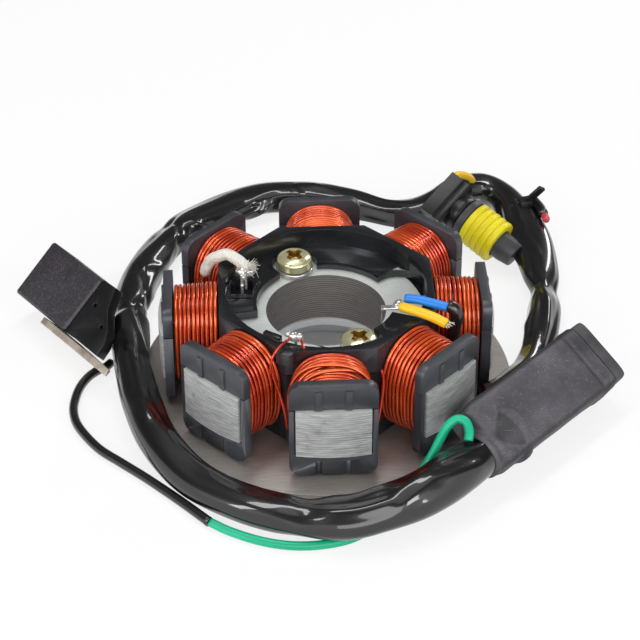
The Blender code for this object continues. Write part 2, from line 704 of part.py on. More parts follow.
def green_wire_route():
    """Beside the thin sleeve's end, under the harness sleeve, then up over the plate to the hood's neck."""
    flat = GREEN_WIRE_DIAMETER / 2
    return [
        (-0.0311, -0.0575, flat + 0.0003), (-0.0262, -0.0608, flat), (-0.0188, -0.0646, flat),
        (-0.0113, -0.0666, flat), (-0.0040, -0.0666, flat), (0.0030, -0.0648, flat),
        (0.0084, -0.0610, flat), (0.0124, -0.0560, flat), (0.0156, -0.0512, 0.0021),
        (0.0190, -0.0470, 0.0040), (0.0222, -0.0440, 0.0055), (0.0252, -0.0418, 0.0080),
        (0.0280, -0.0406, 0.0118), (0.0304, -0.0400, 0.0156), (0.0320, -0.0403, 0.0175),
        (0.0332, -0.0415, 0.0179), (0.0336, -0.0434, 0.0169), (0.0334, -0.0452, 0.0153),
    ]


def hood_frame():
    along = Vector((math.cos(HOOD_TURN), math.sin(HOOD_TURN), 0.0))
    side = Vector((-math.sin(HOOD_TURN), math.cos(HOOD_TURN), 0.0))
    across = side * math.cos(HOOD_TILT) + Vector((0, 0, math.sin(HOOD_TILT)))
    up = along.cross(across)
    frame = Matrix((along, across, up)).transposed().to_4x4()
    frame.translation = Vector(HOOD_ORIGIN)
    return frame


def hood_sections(inset, stations, fullness):
    sections = []
    for x, grow in stations:
        oval = rounded(HOOD_WIDTH / 2 - inset + grow, HOOD_DEPTH / 2 - inset + grow, fullness, 20)
        sections.append([(x, y, z) for y, z in oval])
    return sections


def rubber_hood(material):
    stations = [(0.0, -0.0018), (0.0012, -0.0004), (0.0030, 0.0), (HOOD_LENGTH - 0.0042, 0.0),
                (HOOD_LENGTH - 0.0038, 0.0003), (HOOD_LENGTH - 0.0004, 0.0003), (HOOD_LENGTH, 0.0)]
    item = add_object("rubber_hood", loft(hood_sections(0.0, stations, 7.0)), material)
    side, rise = NECK_OFFSET
    neck_stations = [(-0.0026, NECK_RADIUS - 0.0004, 0.0), (-0.0020, NECK_RADIUS, 0.0),
                     (0.0020, NECK_RADIUS + 0.0003, 0.2), (0.0052, NECK_ROOT_RADIUS - 0.0008, 0.7),
                     (0.0076, NECK_ROOT_RADIUS, 1.0), (0.0094, NECK_ROOT_RADIUS - 0.0016, 1.0),
                     (0.0106, NECK_ROOT_RADIUS - 0.0046, 1.0)]
    sections = []
    for x, radius, share in neck_stations:
        ring = circle(radius, 20, (side, rise + 0.0010 * share))
        sections.append([(x, y, z) for y, z in ring])
    shape(item, [loft(sections)], "UNION")
    mouth = loft(hood_sections(HOOD_WALL, [(HOOD_LENGTH - HOOD_MOUTH_DEPTH, 0.0),
                                           (HOOD_LENGTH + 0.001, 0.0)], 8.0))
    bore = [[(x, y, z) for y, z in circle(SLEEVE_DIAMETER / 2 + GAP, 20, NECK_OFFSET)]
            for x in (-0.0040, NECK_BORE_DEPTH)]
    shape(item, [mouth, loft(bore)], "DIFFERENCE")
    item.matrix_world = hood_frame()
    return sharp(item, 35.0)


def plug_body(material):
    """Black plug in the hood's mouth, with six sockets in its face."""
    start = HOOD_LENGTH - HOOD_MOUTH_DEPTH + GAP
    stop = HOOD_LENGTH + PLUG_PROUD
    inset = HOOD_WALL + GAP
    stations = [(start, 0.0), (HOOD_LENGTH + GAP, 0.0), (HOOD_LENGTH + GAP, HOOD_WALL + GAP - 0.0002),
                (stop - 0.0004, HOOD_WALL + GAP - 0.0002), (stop, HOOD_WALL + GAP - 0.0006)]
    item = add_object("plug_body", loft(hood_sections(inset, stations, 8.0)), material)
    sockets = []
    for column in (-1, 0, 1):
        for row in (-1, 1):
            y, z = column * 0.0052, row * 0.0021
            sockets.append(block((stop - 0.0060, y - 0.0017, z - 0.0012), (stop + 0.001, y + 0.0017, z + 0.0012)))
    shape(item, sockets, "DIFFERENCE")
    item.matrix_world = hood_frame()
    return sharp(item, 35.0)


def pickup_frame():
    along = Vector((math.cos(PICKUP_TURN), math.sin(PICKUP_TURN), 0.0))
    side = Vector((-math.sin(PICKUP_TURN), math.cos(PICKUP_TURN), 0.0))
    across = side * math.cos(PICKUP_TILT) + Vector((0, 0, math.sin(PICKUP_TILT)))
    up = along.cross(across)
    frame = Matrix((along, across, up)).transposed().to_4x4()
    height = PICKUP_DEPTH * math.cos(PICKUP_TILT)
    frame.translation = Vector((*PICKUP_ORIGIN, height))
    return frame


def pickup_cover(material):
    """Grey cap over the pickup's coil; its open end faces the ear."""
    item = add_object("pickup_cover", block((0.0, 0.0, -PICKUP_DEPTH), (PICKUP_LENGTH, PICKUP_WIDTH, 0.0)), material)
    wall = PICKUP_COVER_WALL
    cavity = block((wall, wall, -PICKUP_DEPTH + wall), (PICKUP_LENGTH + 0.001, PICKUP_WIDTH - wall, -wall))
    shape(item, [cavity], "DIFFERENCE")
    bevelled(item, 0.0006)
    item.matrix_world = pickup_frame()
    return item


def pickup_body(material):
    """Coil body inside the cap, with a thin ear that carries two rivet holes."""
    wall = PICKUP_COVER_WALL + PICKUP_SLACK
    start = PICKUP_LENGTH + GAP
    top, bottom = -PICKUP_EAR_INSET, -PICKUP_EAR_INSET - PICKUP_EAR_SHEET
    ear = [(start, 0.0004), (0.0385, 0.0004), (0.0382, 0.0040), (0.0368, 0.0070), (0.0318, 0.0118),
           (0.0296, 0.0168), (0.0292, 0.0178), (start, 0.0176)]
    item = add_object("pickup_body", prism(ear, bottom, top), material)
    coil = block((wall, wall, -PICKUP_DEPTH + wall), (start + 0.0016, PICKUP_WIDTH - wall, -wall))
    shape(item, [coil], "UNION")
    rivets = [prism(circle(0.0006, 10, centre), bottom - 0.001, top + 0.001)
              for centre in ((0.0270, 0.0107), (0.0336, 0.0072))]
    shape(item, rivets, "DIFFERENCE")
    item.matrix_world = pickup_frame()
    return sharp(item)


def pickup_foot(material):
    """Steel mounting strip under the ear and the cap."""
    low, high = -PICKUP_FOOT_SHEET - GAP, -GAP
    outline = [(0.0150, 0.0), (0.0150, -0.0070), (0.0300, -0.0070), (0.0390, -0.0034), (0.0455, -0.0012),
               (0.0455, 0.0)]
    bm = prism([(x, -z) for x, z in outline], low, high)
    upright = Matrix(((1, 0, 0, 0), (0, 0, 1, 0), (0, -1, 0, 0), (0, 0, 0, 1)))
    item = add_object("pickup_foot", place(bm, upright), material)
    item.matrix_world = pickup_frame()
    return item


def sealed_plug_frame():
    along = Vector(SEALED_PLUG_AXIS).normalized()
    across = Vector(SEALED_PLUG_ACROSS)
    across = (across - along * across.dot(along)).normalized()
    up = along.cross(across)
    frame = Matrix((across, up, along)).transposed().to_4x4()
    frame.translation = Vector(SEALED_PLUG_CENTRE)
    return frame


def sealed_plug(black, grey, yellow):
    """Round plug with a ribbed seal; local Z runs from the latch box to the tail."""
    frame = sealed_plug_frame()
    half = SEAL_LENGTH / 2
    neck = BARREL_RADIUS * 0.70
    profile = [(neck + GAP, -half), (SEAL_RADIUS - SEAL_GROOVE, -half)]
    for rib in range(SEAL_RIBS):
        low = -half + SEAL_LENGTH * rib / SEAL_RIBS
        pitch = SEAL_LENGTH / SEAL_RIBS
        profile += [(SEAL_RADIUS, low + pitch * 0.25), (SEAL_RADIUS, low + pitch * 0.65)]
        profile += [(SEAL_RADIUS - SEAL_GROOVE, low + pitch)]
    profile += [(neck + GAP, half)]
    seal = add_object("plug_seal", turned(profile, 28), yellow)
    seal.matrix_world = frame
    sharp(seal, 60.0)

    tail = half + 0.0040
    collar_low = -half - GAP - COLLAR_LENGTH
    profile = [(0.0, collar_low), (COLLAR_RADIUS - 0.0003, collar_low), (COLLAR_RADIUS, collar_low + 0.0003),
               (COLLAR_RADIUS, -half - GAP), (neck, -half - GAP), (neck, half + GAP),
               (neck - 0.0006, tail), (0.0, tail)]
    collar = add_object("plug_collar", solid_turned(profile, 24), grey)
    collar.matrix_world = frame
    sharp(collar)

    barrel_high = collar_low - GAP
    barrel_low = barrel_high - BARREL_LENGTH
    profile = [(0.0, barrel_low), (BARREL_RADIUS - 0.0008, barrel_low), (BARREL_RADIUS, barrel_low + 0.0016),
               (BARREL_RADIUS, barrel_high), (0.0, barrel_high)]
    box = add_object("plug_latch_box", solid_turned(profile, 24), black)
    length, width, depth = PLUG_BOX
    low = barrel_low - length
    tools = [block((-width / 2, -depth / 2, low), (width / 2, depth / 2, barrel_low + 0.0003))]
    for offset in (-0.0003, -0.0028):
        centre = barrel_low + offset
        tools.append(block((-width / 2, depth / 2 - 0.0005, centre - 0.0006),
                           (width / 2, depth / 2 + 0.0009, centre + 0.0003)))
    shape(box, tools, "UNION")
    opening = block((-width / 2 + 0.0016, -depth / 2 + 0.0016, low - 0.001),
                    (width / 2 - 0.0016, depth / 2 - 0.0016, low + 0.0050))
    shape(box, [opening], "DIFFERENCE")
    box.matrix_world = frame
    sharp(box)


def sleeve_tie(material):
    """Cable tie round the harness sleeve, with its cut tail standing up."""
    inner = SLEEVE_DIAMETER / 2 + GAP
    outer = inner + 0.0011
    half = 0.0013
    profile = [(inner, -half), (outer, -half), (outer, half), (inner, half)]
    item = add_object("sleeve_tie", turned(profile, 24), material)
    head = block((-0.0022, outer - 0.0006, -0.0020), (0.0022, outer + 0.0022, 0.0020))
    tail = prism([(0.0008, outer + 0.0010), (0.0016, outer + 0.0010), (0.0040, outer + 0.0088),
                  (0.0034, outer + 0.0092)], -half, half)
    shape(item, [head, tail], "UNION")
    route = smooth_route(harness_route(), SLEEVE_SPACING)
    wanted = Vector(TIE_NEAR)
    pairs = list(zip(route, route[1:]))
    start, stop = min(pairs, key=lambda pair: ((pair[0] + pair[1]) / 2 - wanted).length)
    along = (stop - start).normalized()
    up = Vector((0.55, -0.1, 0.83))
    up = (up - along * up.dot(along)).normalized()
    side = up.cross(along)
    frame = Matrix((side, up, along)).transposed().to_4x4()
    frame.translation = (start + stop) / 2
    item.matrix_world = frame
    return sharp(item)


def branch_leads(yellow, black, red):
    """Short yellow lead from the sealed plug to the sleeve, and a capped spare lead."""
    tube("plug_lead", [(0.0388, 0.0680, 0.0162), (0.0376, 0.0702, 0.0173), (0.0381, 0.0722, 0.0183),
                       (0.0402, 0.0732, 0.0178), (0.0432, 0.0754, 0.0162), (0.0459, 0.0779, 0.0141)],
         0.0022, yellow, 0.0022)
    tube("spare_lead", [(0.0640, 0.0698, 0.0100), (0.0652, 0.0656, 0.0103), (0.0659, 0.0618, 0.0104)],
         0.0030, black, 0.0040)
    tube("spare_lead_end", [(0.0660, 0.0614, 0.0104), (0.0662, 0.0600, 0.0104), (0.0663, 0.0588, 0.0104)],
         0.0022, red, 0.0040)


def main():
    clear_scene()
    steel = finish("brushed plate steel", (0.42, 0.40, 0.38), 0.40, 1.0)
    laminations = finish("lamination steel", (0.55, 0.56, 0.55), 0.38, 1.0)
    moulding = finish("charcoal moulding", (0.055, 0.057, 0.060), 0.45)
    copper = finish("enamelled copper", (0.72, 0.17, 0.07), 0.28, 0.6)
    yellow_zinc = finish("yellow zinc", (0.72, 0.62, 0.34), 0.25, 1.0)
    bright_steel = finish("bright steel", (0.70, 0.70, 0.70), 0.25, 1.0)
    solder = finish("solder", (0.78, 0.78, 0.78), 0.22, 1.0)
    sleeve_black = finish("glossy sleeve", (0.012, 0.012, 0.014), 0.16)
    rubber = finish("dusty rubber", (0.085, 0.082, 0.090), 0.70)
    plug_black = finish("black plug plastic", (0.018, 0.018, 0.018), 0.42)
    pickup_grey = finish("dusty cap", (0.080, 0.076, 0.085), 0.62)
    collar_grey = finish("dark grey plastic", (0.10, 0.10, 0.11), 0.45)
    white = finish("white lead", (0.80, 0.78, 0.72), 0.55)
    blue = finish("blue lead", (0.03, 0.26, 0.83), 0.38)
    yellow = finish("yellow lead", (0.95, 0.62, 0.02), 0.38)
    seal_yellow = finish("yellow seal", (0.80, 0.66, 0.02), 0.45)
    green = finish("green wire", (0.0, 0.52, 0.33), 0.35)
    red = finish("red lead", (0.60, 0.12, 0.16), 0.45)

    base_plate(steel)
    laminated_core(laminations)
    lower_frame(moulding)
    upper_frame(moulding)
    coils(copper)
    for index, angle in enumerate(SCREW_ANGLES, start=1):
        screw(index, angle, yellow_zinc)
        washer(index, angle, bright_steel)
    left_terminal(solder)
    right_terminal(solder)
    front_terminal(solder)
    leads(white, blue, yellow, sleeve_black, copper)
    tube("harness_sleeve", harness_route(), SLEEVE_DIAMETER, sleeve_black, SLEEVE_SPACING, 3,
         SLEEVE_SLIM, SLEEVE_SWELL)
    tube("pickup_sleeve", pickup_sleeve_route(), PICKUP_SLEEVE_DIAMETER, sleeve_black, 0.0050)
    tube("green_wire", green_wire_route(), GREEN_WIRE_DIAMETER, green, 0.0030)
    rubber_hood(rubber)
    plug_body(plug_black)
    pickup_cover(pickup_grey)
    pickup_body(plug_black)
    pickup_foot(bright_steel)
    sealed_plug(plug_black, collar_grey, seal_yellow)
    sleeve_tie(plug_black)
    branch_leads(yellow, sleeve_black, red)


main()
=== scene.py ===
import math

import bmesh
import bpy
import numpy as np
from mathutils import Matrix, Vector, noise


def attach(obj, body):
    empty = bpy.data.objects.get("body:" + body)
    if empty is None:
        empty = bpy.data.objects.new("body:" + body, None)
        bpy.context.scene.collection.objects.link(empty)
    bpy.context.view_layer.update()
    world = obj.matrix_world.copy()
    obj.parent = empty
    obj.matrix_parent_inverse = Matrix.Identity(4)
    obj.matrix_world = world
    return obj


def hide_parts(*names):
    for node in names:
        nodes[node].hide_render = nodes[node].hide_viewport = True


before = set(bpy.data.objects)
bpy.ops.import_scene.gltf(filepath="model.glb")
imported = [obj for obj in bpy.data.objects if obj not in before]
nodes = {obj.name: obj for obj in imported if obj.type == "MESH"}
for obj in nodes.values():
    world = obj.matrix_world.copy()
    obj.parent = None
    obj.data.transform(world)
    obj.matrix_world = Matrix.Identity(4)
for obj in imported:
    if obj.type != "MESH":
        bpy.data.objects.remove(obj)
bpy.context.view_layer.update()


# shader sums and materials

class Wire:  # one shader socket, so that sums on masks read as sums
    def __init__(self, finish, socket):
        self.finish = finish
        self.socket = socket

    def join(self, operation, other, swapped=False, clamp=False):
        pair = (other, self) if swapped else (self, other)
        return self.finish.node("Math", {"operation": operation, "use_clamp": clamp},
                                {0: pair[0], 1: pair[1]})

    def __add__(self, other):
        return self.join("ADD", other)

    def __sub__(self, other):
        return self.join("SUBTRACT", other)

    def __rsub__(self, other):
        return self.join("SUBTRACT", other, True)

    def __mul__(self, other):
        return self.join("MULTIPLY", other)

    def __truediv__(self, other):
        return self.join("DIVIDE", other)

    def clamp(self):
        return self.join("ADD", 0.0, clamp=True)

    __radd__ = __add__
    __rmul__ = __mul__


class Finish:  # the nodes of a new material, or of the world
    def __init__(self, name, data=None):
        self.data = data or bpy.data.materials.new(name)
        self.data.use_nodes = True
        self.tree = self.data.node_tree

    def feed(self, socket, value):
        if isinstance(value, Wire):
            self.tree.links.new(value.socket, socket)
        else:
            socket.default_value = value

    def node(self, kind, settings, sockets, out=0):
        made = self.tree.nodes.new("ShaderNode" + kind)
        for key, value in settings.items():
            setattr(made, key, value)
        for key, value in sockets.items():
            self.feed(made.inputs[key], value)
        return Wire(self, made.outputs[out])

    def set(self, **values):
        for key, value in values.items():
            self.feed(self.tree.nodes["Principled BSDF"].inputs[key.replace("_", " ")], value)
        return self.data

    def place(self, scale=(1, 1, 1), turn=0.0):
        coords = self.node("TexCoord", {}, {}, "Object")
        return self.node("Mapping", {}, {"Vector": coords, "Scale": scale, "Rotation": (0, 0, turn)})

    def lay(self, scale):  # round the tube in x and y, along it in z
        coords = self.node("Attribute", {"attribute_name": "lay"}, {}, "Vector")
        return self.node("Mapping", {}, {"Vector": coords, "Scale": scale})

    def mark(self, name):  # a value that is kept on the piece's points
        return self.node("Attribute", {"attribute_name": name}, {}, "Fac")

    def radius(self):  # the distance from the bore's axis
        return self.node("VectorMath", {"operation": "LENGTH"}, {0: self.place((1, 1, 0))}, "Value")

    def ray(self, kind):
        return self.node("LightPath", {}, {}, "Is %s Ray" % kind)

    def seen(self):  # 1 for the camera and for what metal and glass show
        return (self.ray("Camera") + self.ray("Glossy") + self.ray("Transmission")).clamp()

    def grain(self, where, scale, detail=3.0, rough=0.55):
        return self.node("TexNoise", {}, {"Vector": where, "Scale": scale, "Detail": detail,
                                          "Roughness": rough}, "Fac")

    def mask(self, value, low, high):
        return self.node("MapRange", {"interpolation_type": "SMOOTHSTEP"},
                         {"Value": value, "From Min": low, "From Max": high})

    def blend(self, mask, *colours):  # each is a wire, or a screen colour from 0 to 255
        first, second = [c if isinstance(c, Wire) else tint(*c) for c in colours]
        return self.node("Mix", {"data_type": "RGBA"}, {0: mask, 6: first, 7: second}, 2)

    def bump(self, height, distance, strength):
        return self.node("Bump", {}, {"Height": height, "Distance": distance, "Strength": strength})


def tint(red, green, blue):  # a screen colour, 0 to 255, as Blender's own
    return tuple(c / 3294.6 if c <= 10 else ((c / 255 + 0.055) / 1.055) ** 2.4
                 for c in (red, green, blue)) + (1.0,)


def mouldGrain(m):
    # slow clouds, specks of dust in patches, and the height of a fine moulded grain
    where = m.place()
    cloud = m.grain(where, 90.0)
    speck = m.mask(m.grain(where, 2600.0, 2.0), 0.66, 0.78) * m.mask(m.grain(where, 160.0), 0.45, 0.75)
    return cloud, speck, m.grain(where, 3200.0, 2.0) + cloud * 2.0


def mouldedPlastic(name, dark, light, rough, dust, dustColour=(120, 118, 122)):
    m = Finish(name)
    cloud, speck, height = mouldGrain(m)
    base = m.blend(m.mask(cloud, 0.3, 0.7), dark, light)
    return m.set(Base_Color=m.blend(speck * dust, base, dustColour),
                 Roughness=rough + (cloud - 0.5) * 0.16 + speck * 0.3,
                 Normal=m.bump(height, 0.00002, 0.5), Specular_IOR_Level=0.4)


def frameMoulding():
    # painted shade: darker inside the ring, where it lies in shade, and glossy there; paler and drier on the
    # flanges
    m = Finish("charcoalMoulding")
    cloud, speck, height = mouldGrain(m)
    outer = m.mask(m.radius(), 0.0270, 0.0330)
    # painted shade: the colour inside the ring
    wall = m.blend(m.mask(cloud, 0.3, 0.7), (20, 21, 24), (30, 31, 35))
    flange = m.blend(m.mask(cloud, 0.3, 0.7), (46, 48, 53), (61, 63, 69))
    return m.set(Base_Color=m.blend(speck * 0.4, m.blend(outer, wall, flange), (130, 128, 132)),
                 Roughness=0.20 + outer * 0.20 + (cloud - 0.5) * 0.12 + speck * 0.3,
                 Normal=m.bump(height, 0.00002, 0.35), Specular_IOR_Level=0.65)


def enamelCopper():
    m = Finish("enamelCopper")
    toneAndShade = m.mark("toneAndShade")
    cloud = m.grain(m.place(), 260.0)
    paintedHighlight = m.mask(m.grain(m.place(), 700.0), 0.60, 0.80)
    base = m.blend(m.mask(toneAndShade + (cloud - 0.5) * 0.8, 0.1, 0.9), (198, 56, 20), (244, 100, 44))
    # painted highlight: random patches blended toward the peach colour of the highlights
    base = m.blend(paintedHighlight * 0.3, base, (250, 150, 110))
    base = m.blend(m.mark("gap") * 0.9, base, (66, 14, 8))  # painted shade between the turns
    # painted shade: where the value is pushed low, as on the lower layer, the copper turns near black
    return m.set(Base_Color=m.blend(m.mask(toneAndShade, -0.2, -0.8), base, (50, 12, 8)),
                 Metallic=0.55, Roughness=0.20 + cloud * 0.12,
                 Coat_Weight=0.6, Coat_Roughness=0.06, Normal=m.bump(cloud, 0.00003, 0.3))


def laminationSide():
    m = Finish("laminationSide")
    where = m.place()
    height = m.node("SeparateXYZ", {}, {"Vector": where}, "Z")
    wave = (m.grain(where, 240.0) - 0.5) * 0.22
    sheet = (height - laminations["bottom"]) / laminations["pitch"] + wave
    line = m.node("Math", {"operation": "PINGPONG"}, {0: sheet, 1: 0.5})  # 0 on each joint
    joint = 1.0 - m.mask(line, 0.06, 0.20)
    streak = m.grain(m.place((260.0, 260.0, 2600.0)), 1.0, 4.0)
    smudge = m.mask(m.grain(where, 330.0, 4.0), 0.58, 0.74)
    base = m.blend(m.mask(streak, 0.3, 0.7), (168, 170, 171), (214, 215, 213))
    base = m.blend(smudge * 0.4, base, (112, 110, 106))
    bore = 1.0 - m.mask(m.radius(), 0.0165, 0.0170)  # painted shade: the bore wall lies in shade, so it is painted dull and darker than the pole faces
    base = m.blend(bore * 0.85, base, (128, 122, 119))
    uneven = m.mask(m.grain(m.place((90.0, 90.0, 900.0)), 1.0, 2.0), 0.35, 0.65)
    # in the bore, the painted shade also deepens the joint lines
    return m.set(Base_Color=m.blend(joint * (0.18 + uneven * 0.30 + bore * 0.42), base, (58, 54, 52)),
                 Metallic=0.50, Roughness=0.42 + joint * 0.2 + smudge * 0.15,
                 Normal=m.bump(streak - joint * 1.2, 0.00004, 0.6))


def laminationTop():
    m = Finish("laminationTop")
    where = m.place()
    pits = m.mask(m.grain(where, 1500.0, 3.0), 0.60, 0.74)
    cloud = m.grain(where, 70.0, 4.0)
    base = m.blend(m.mask(cloud, 0.3, 0.7), (204, 209, 205), (226, 230, 226))
    return m.set(Base_Color=m.blend(pits * 0.35, base, (120, 122, 116)),
                 Metallic=0.30, Roughness=0.46 + pits * 0.2, Normal=m.bump(cloud - pits, 0.00003, 0.4))


def plateSteel():
    m = Finish("plateSteel")
    where = m.place()
    brushed = m.grain(m.place((160.0, 3200.0, 900.0), 0.3), 1.0, 4.0, 0.65)
    cloud = m.grain(where, 42.0, 4.0)
    stain = m.mask(m.grain(where, 120.0, 5.0, 0.7), 0.55, 0.75)
    base = m.blend(m.mask(brushed, 0.25, 0.75), (136, 130, 126), (158, 152, 147))
    base = m.blend(m.mask(cloud, 0.35, 0.7) * 0.5, base, (172, 166, 161))
    base = m.blend(stain * 0.3, base, (100, 92, 86))
    hubInside = 1.0 - m.mask(m.radius(), 0.0225, 0.0228)  # much paler inside the hub
    return m.set(Base_Color=m.blend(hubInside, base, (236, 238, 240)),
                 Metallic=0.50 - hubInside * 0.4, Roughness=0.38 + brushed * 0.12 + stain * 0.1,
                 Normal=m.bump(brushed, 0.00002, 0.4))


def shinyMetal(name, first, second, rough, scale, metallic, grain=0.5):
    m = Finish(name)
    where = m.place()
    cloud = m.grain(where, scale, 4.0)
    scratch = m.grain(m.place((300.0, 3600.0, 1800.0), 0.7), 1.0, 3.0)
    return m.set(Base_Color=m.blend(m.mask(cloud, 0.35, 0.68), first, second),
                 Metallic=metallic, Roughness=rough + (cloud - 0.5) * 0.2 + (scratch - 0.5) * 0.1,
                 Normal=m.bump(scratch + cloud * 2.0, 0.00002, grain))


def insulation(name, dark, light):
    m = Finish(name)
    streak = m.grain(m.lay((1.6, 1.6, 60.0)), 1.0, 3.0)
    grime = m.mask(m.grain(m.place(), 900.0, 4.0), 0.60, 0.78)
    base = m.blend(m.mask(streak, 0.3, 0.7), dark, light)
    return m.set(Base_Color=m.blend(grime * 0.22, base, (90, 84, 70)),
                 Roughness=0.34 + streak * 0.1 + grime * 0.2, Normal=m.bump(streak, 0.00006, 0.4))


def glossySleeve(name, rough=0.36, coat=0.06):
    m = Finish(name)
    long = m.grain(m.lay((1.3, 1.3, 22.0)), 1.0, 2.0, 0.45)
    crease = m.grain(m.lay((2.2, 2.2, 90.0)), 1.0, 2.0, 0.5)
    dust = m.mask(m.grain(m.place(), 2400.0, 2.0), 0.66, 0.76) * m.mask(m.grain(m.place(), 60.0), 0.5, 0.7)
    base = m.blend(m.mask(long, 0.3, 0.7), (8, 8, 10), (17, 16, 19))
    return m.set(Base_Color=m.blend(dust * 0.35, base, (105, 105, 110)),
                 Roughness=rough + (long - 0.5) * 0.12 + dust * 0.3, Specular_IOR_Level=0.30,
                 Coat_Weight=1.0, Coat_Roughness=coat, Normal=m.bump(long * 2.0 + crease * 0.3, 0.00010, 0.3))


def dustyRubber(name, dark, light, speckle, rough=0.62, along=(0.703, 0.711)):
    m = Finish(name)
    where = m.place()
    turn = -math.atan2(along[1], along[0])
    scratches = m.mask(m.grain(m.place((120.0, 1900.0, 1900.0), turn), 1.0, 3.0), 0.62, 0.74)
    crossing = m.mask(m.grain(m.place((1500.0, 140.0, 1300.0), turn + 0.4), 1.0, 2.0), 0.66, 0.76)
    dust = m.mask(m.grain(where, 1900.0, 4.0, 0.7), 0.52, 0.72)
    cloud = m.grain(where, 85.0, 5.0, 0.6)
    base = m.blend(m.mask(cloud, 0.32, 0.7), dark, light)
    base = m.blend(dust * m.mask(cloud, 0.25, 0.75) * 0.55, base, speckle)
    # the edge mark: black on rubbed edges, and painted shade by the hood's neck
    base = m.blend(m.mark("edge") * 0.85, base, (30, 29, 32))
    return m.set(Base_Color=m.blend((scratches * 0.30 + crossing * 0.25).clamp(), base, speckle),
                 Roughness=rough + dust * 0.2 - cloud * 0.1,
                 Normal=m.bump(dust * 0.6 + cloud + scratches * 0.5, 0.00006, 0.6))


def braidedWhite():
    m = Finish("braidedWhite")
    weave = m.node("TexVoronoi", {}, {"Vector": m.lay((4.0, 4.0, 2200.0)), "Scale": 1.0}, "Distance")
    fluff = m.grain(m.place(), 1700.0, 4.0)
    grime = m.mask(m.grain(m.place(), 260.0, 3.0), 0.5, 0.72)
    base = m.blend(m.mask(fluff, 0.3, 0.7), (212, 208, 197), (238, 235, 226))
    return m.set(Base_Color=m.blend(grime * 0.35, base, (176, 160, 140)),
                 Roughness=0.78, Normal=m.bump(weave + fluff, 0.00012, 0.7))


laminations = {"bottom": 0.0096, "top": 0.0235, "sheets": 20, "groove": 0.00008, "half": 0.00007,
               "waveSize": 0.00007, "waves": 160.0}
laminations["pitch"] = (laminations["top"] - laminations["bottom"]) / laminations["sheets"]

copperFinish = enamelCopper()
charcoal = frameMoulding()
lamSide = laminationSide()
lamTop = laminationTop()
plateFinish = plateSteel()
yellowZinc = shinyMetal("yellowZinc", (244, 236, 190), (224, 218, 174), 0.20, 420.0, 0.7)
# painted shade: a darker brown copy of the zinc, for the walls of the cross recess
recessShadeZinc = shinyMetal("recessShadeZinc", (176, 132, 52), (120, 92, 30), 0.30, 900.0, 0.7)
brightSteel = shinyMetal("brightSteel", (222, 222, 220), (192, 192, 192), 0.24, 420.0, 0.7)
stripSteel = shinyMetal("stripSteel", (204, 192, 177), (158, 146, 132), 0.36, 260.0, 0.45)
solderFinish = shinyMetal("solder", (224, 222, 218), (182, 180, 178), 0.18, 500.0, 0.7, 0.10)
whiteBraid = braidedWhite()
blueSkin = insulation("blueInsulation", (22, 112, 214), (46, 146, 240))
yellowSkin = insulation("yellowInsulation", (238, 182, 12), (252, 206, 34))
greenSkin = insulation("greenInsulation", (0, 158, 116), (0, 186, 142))
redSkin = insulation("redInsulation", (186, 44, 66), (214, 82, 96))
sleeveFinish = glossySleeve("glossySleeve")
thinSleeveFinish = glossySleeve("thinSleeve", 0.40, 0.16)
hoodFinish = dustyRubber("dustyRubber", (66, 64, 69), (92, 89, 96), (158, 152, 157))
capFinish = dustyRubber("dustyCap", (38, 35, 40), (56, 52, 58), (118, 112, 116), 0.5, (0.599, -0.801))
blackPlastic = mouldedPlastic("blackPlastic", (20, 20, 21), (32, 32, 34), 0.34, 0.5)
plugPlastic = mouldedPlastic("plugPlastic", (50, 49, 51), (84, 82, 86), 0.62, 1.0, (176, 170, 166))
greyPlastic = mouldedPlastic("darkGreyPlastic", (58, 58, 62), (76, 76, 80), 0.46, 0.6)
sealFinish = mouldedPlastic("sealYellow", (218, 200, 10), (236, 220, 34), 0.42, 0.3, (150, 130, 20))
print("materials made")


# camera

view = {"place": (-0.02123, -0.46573, 0.36294), "towards": (0.03669, 0.80478, -0.59244),
        "lens": 123.75, "shift": -0.00944}
cameraData = bpy.data.cameras.new("camera")
cameraData.lens = view["lens"]
cameraData.shift_x = view["shift"]
cameraData.clip_start = 0.01
camera = bpy.data.objects.new("camera", cameraData)
camera.location = view["place"]
camera.rotation_euler = Vector(view["towards"]).to_track_quat("-Z", "Y").to_euler()
bpy.context.scene.collection.objects.link(camera)
bpy.context.scene.camera = camera
print("camera set")


# tubes and routes

def distances(points):
    # how far along a route each of its points lies
    return np.concatenate([[0], np.cumsum(np.linalg.norm(np.diff(points, axis=0), axis=1))])


def roundAngles(sides):
    return np.linspace(0, 2 * math.pi, sides, endpoint=False)


def smoothRoute(knots, step):
    # a curve through the knots, as part.py draws it, cut into equal steps
    p = [np.array(k, float) for k in knots]
    p = [2 * p[0] - p[1]] + p + [2 * p[-1] - p[-2]]
    dense = []
    for a, b, c, d in zip(p, p[1:], p[2:], p[3:]):
        for t in np.linspace(0, 1, 24, endpoint=False):
            dense.append(0.5 * (2 * b + (c - a) * t + (2 * a - 5 * b + 4 * c - d) * t * t
                                + (3 * b - a - 3 * c + d) * t ** 3))
    dense.append(p[-2])
    dense = np.array(dense)
    along = distances(dense)
    count = max(4, int(round(along[-1] / step)))
    marks = np.linspace(0, along[-1], count + 1)
    return np.stack([np.interp(marks, along, dense[:, i]) for i in range(3)], axis=1), marks


def ringFrames(centres, level):
    # the sideways and the upward direction at every ring
    ahead = np.gradient(centres, axis=0)
    ahead /= np.linalg.norm(ahead, axis=1)[:, None]
    sides = np.zeros_like(centres)
    if level:
        sides = np.cross(ahead, (0, 0, 1.0))
        sides /= np.linalg.norm(sides, axis=1)[:, None]
    else:
        first = np.cross(ahead[0], (0.31, 0.22, 0.92))
        for i, direction in enumerate(ahead):
            first = first - direction * first.dot(direction)
            first /= np.linalg.norm(first)
            sides[i] = first
    return sides, np.cross(sides, ahead)


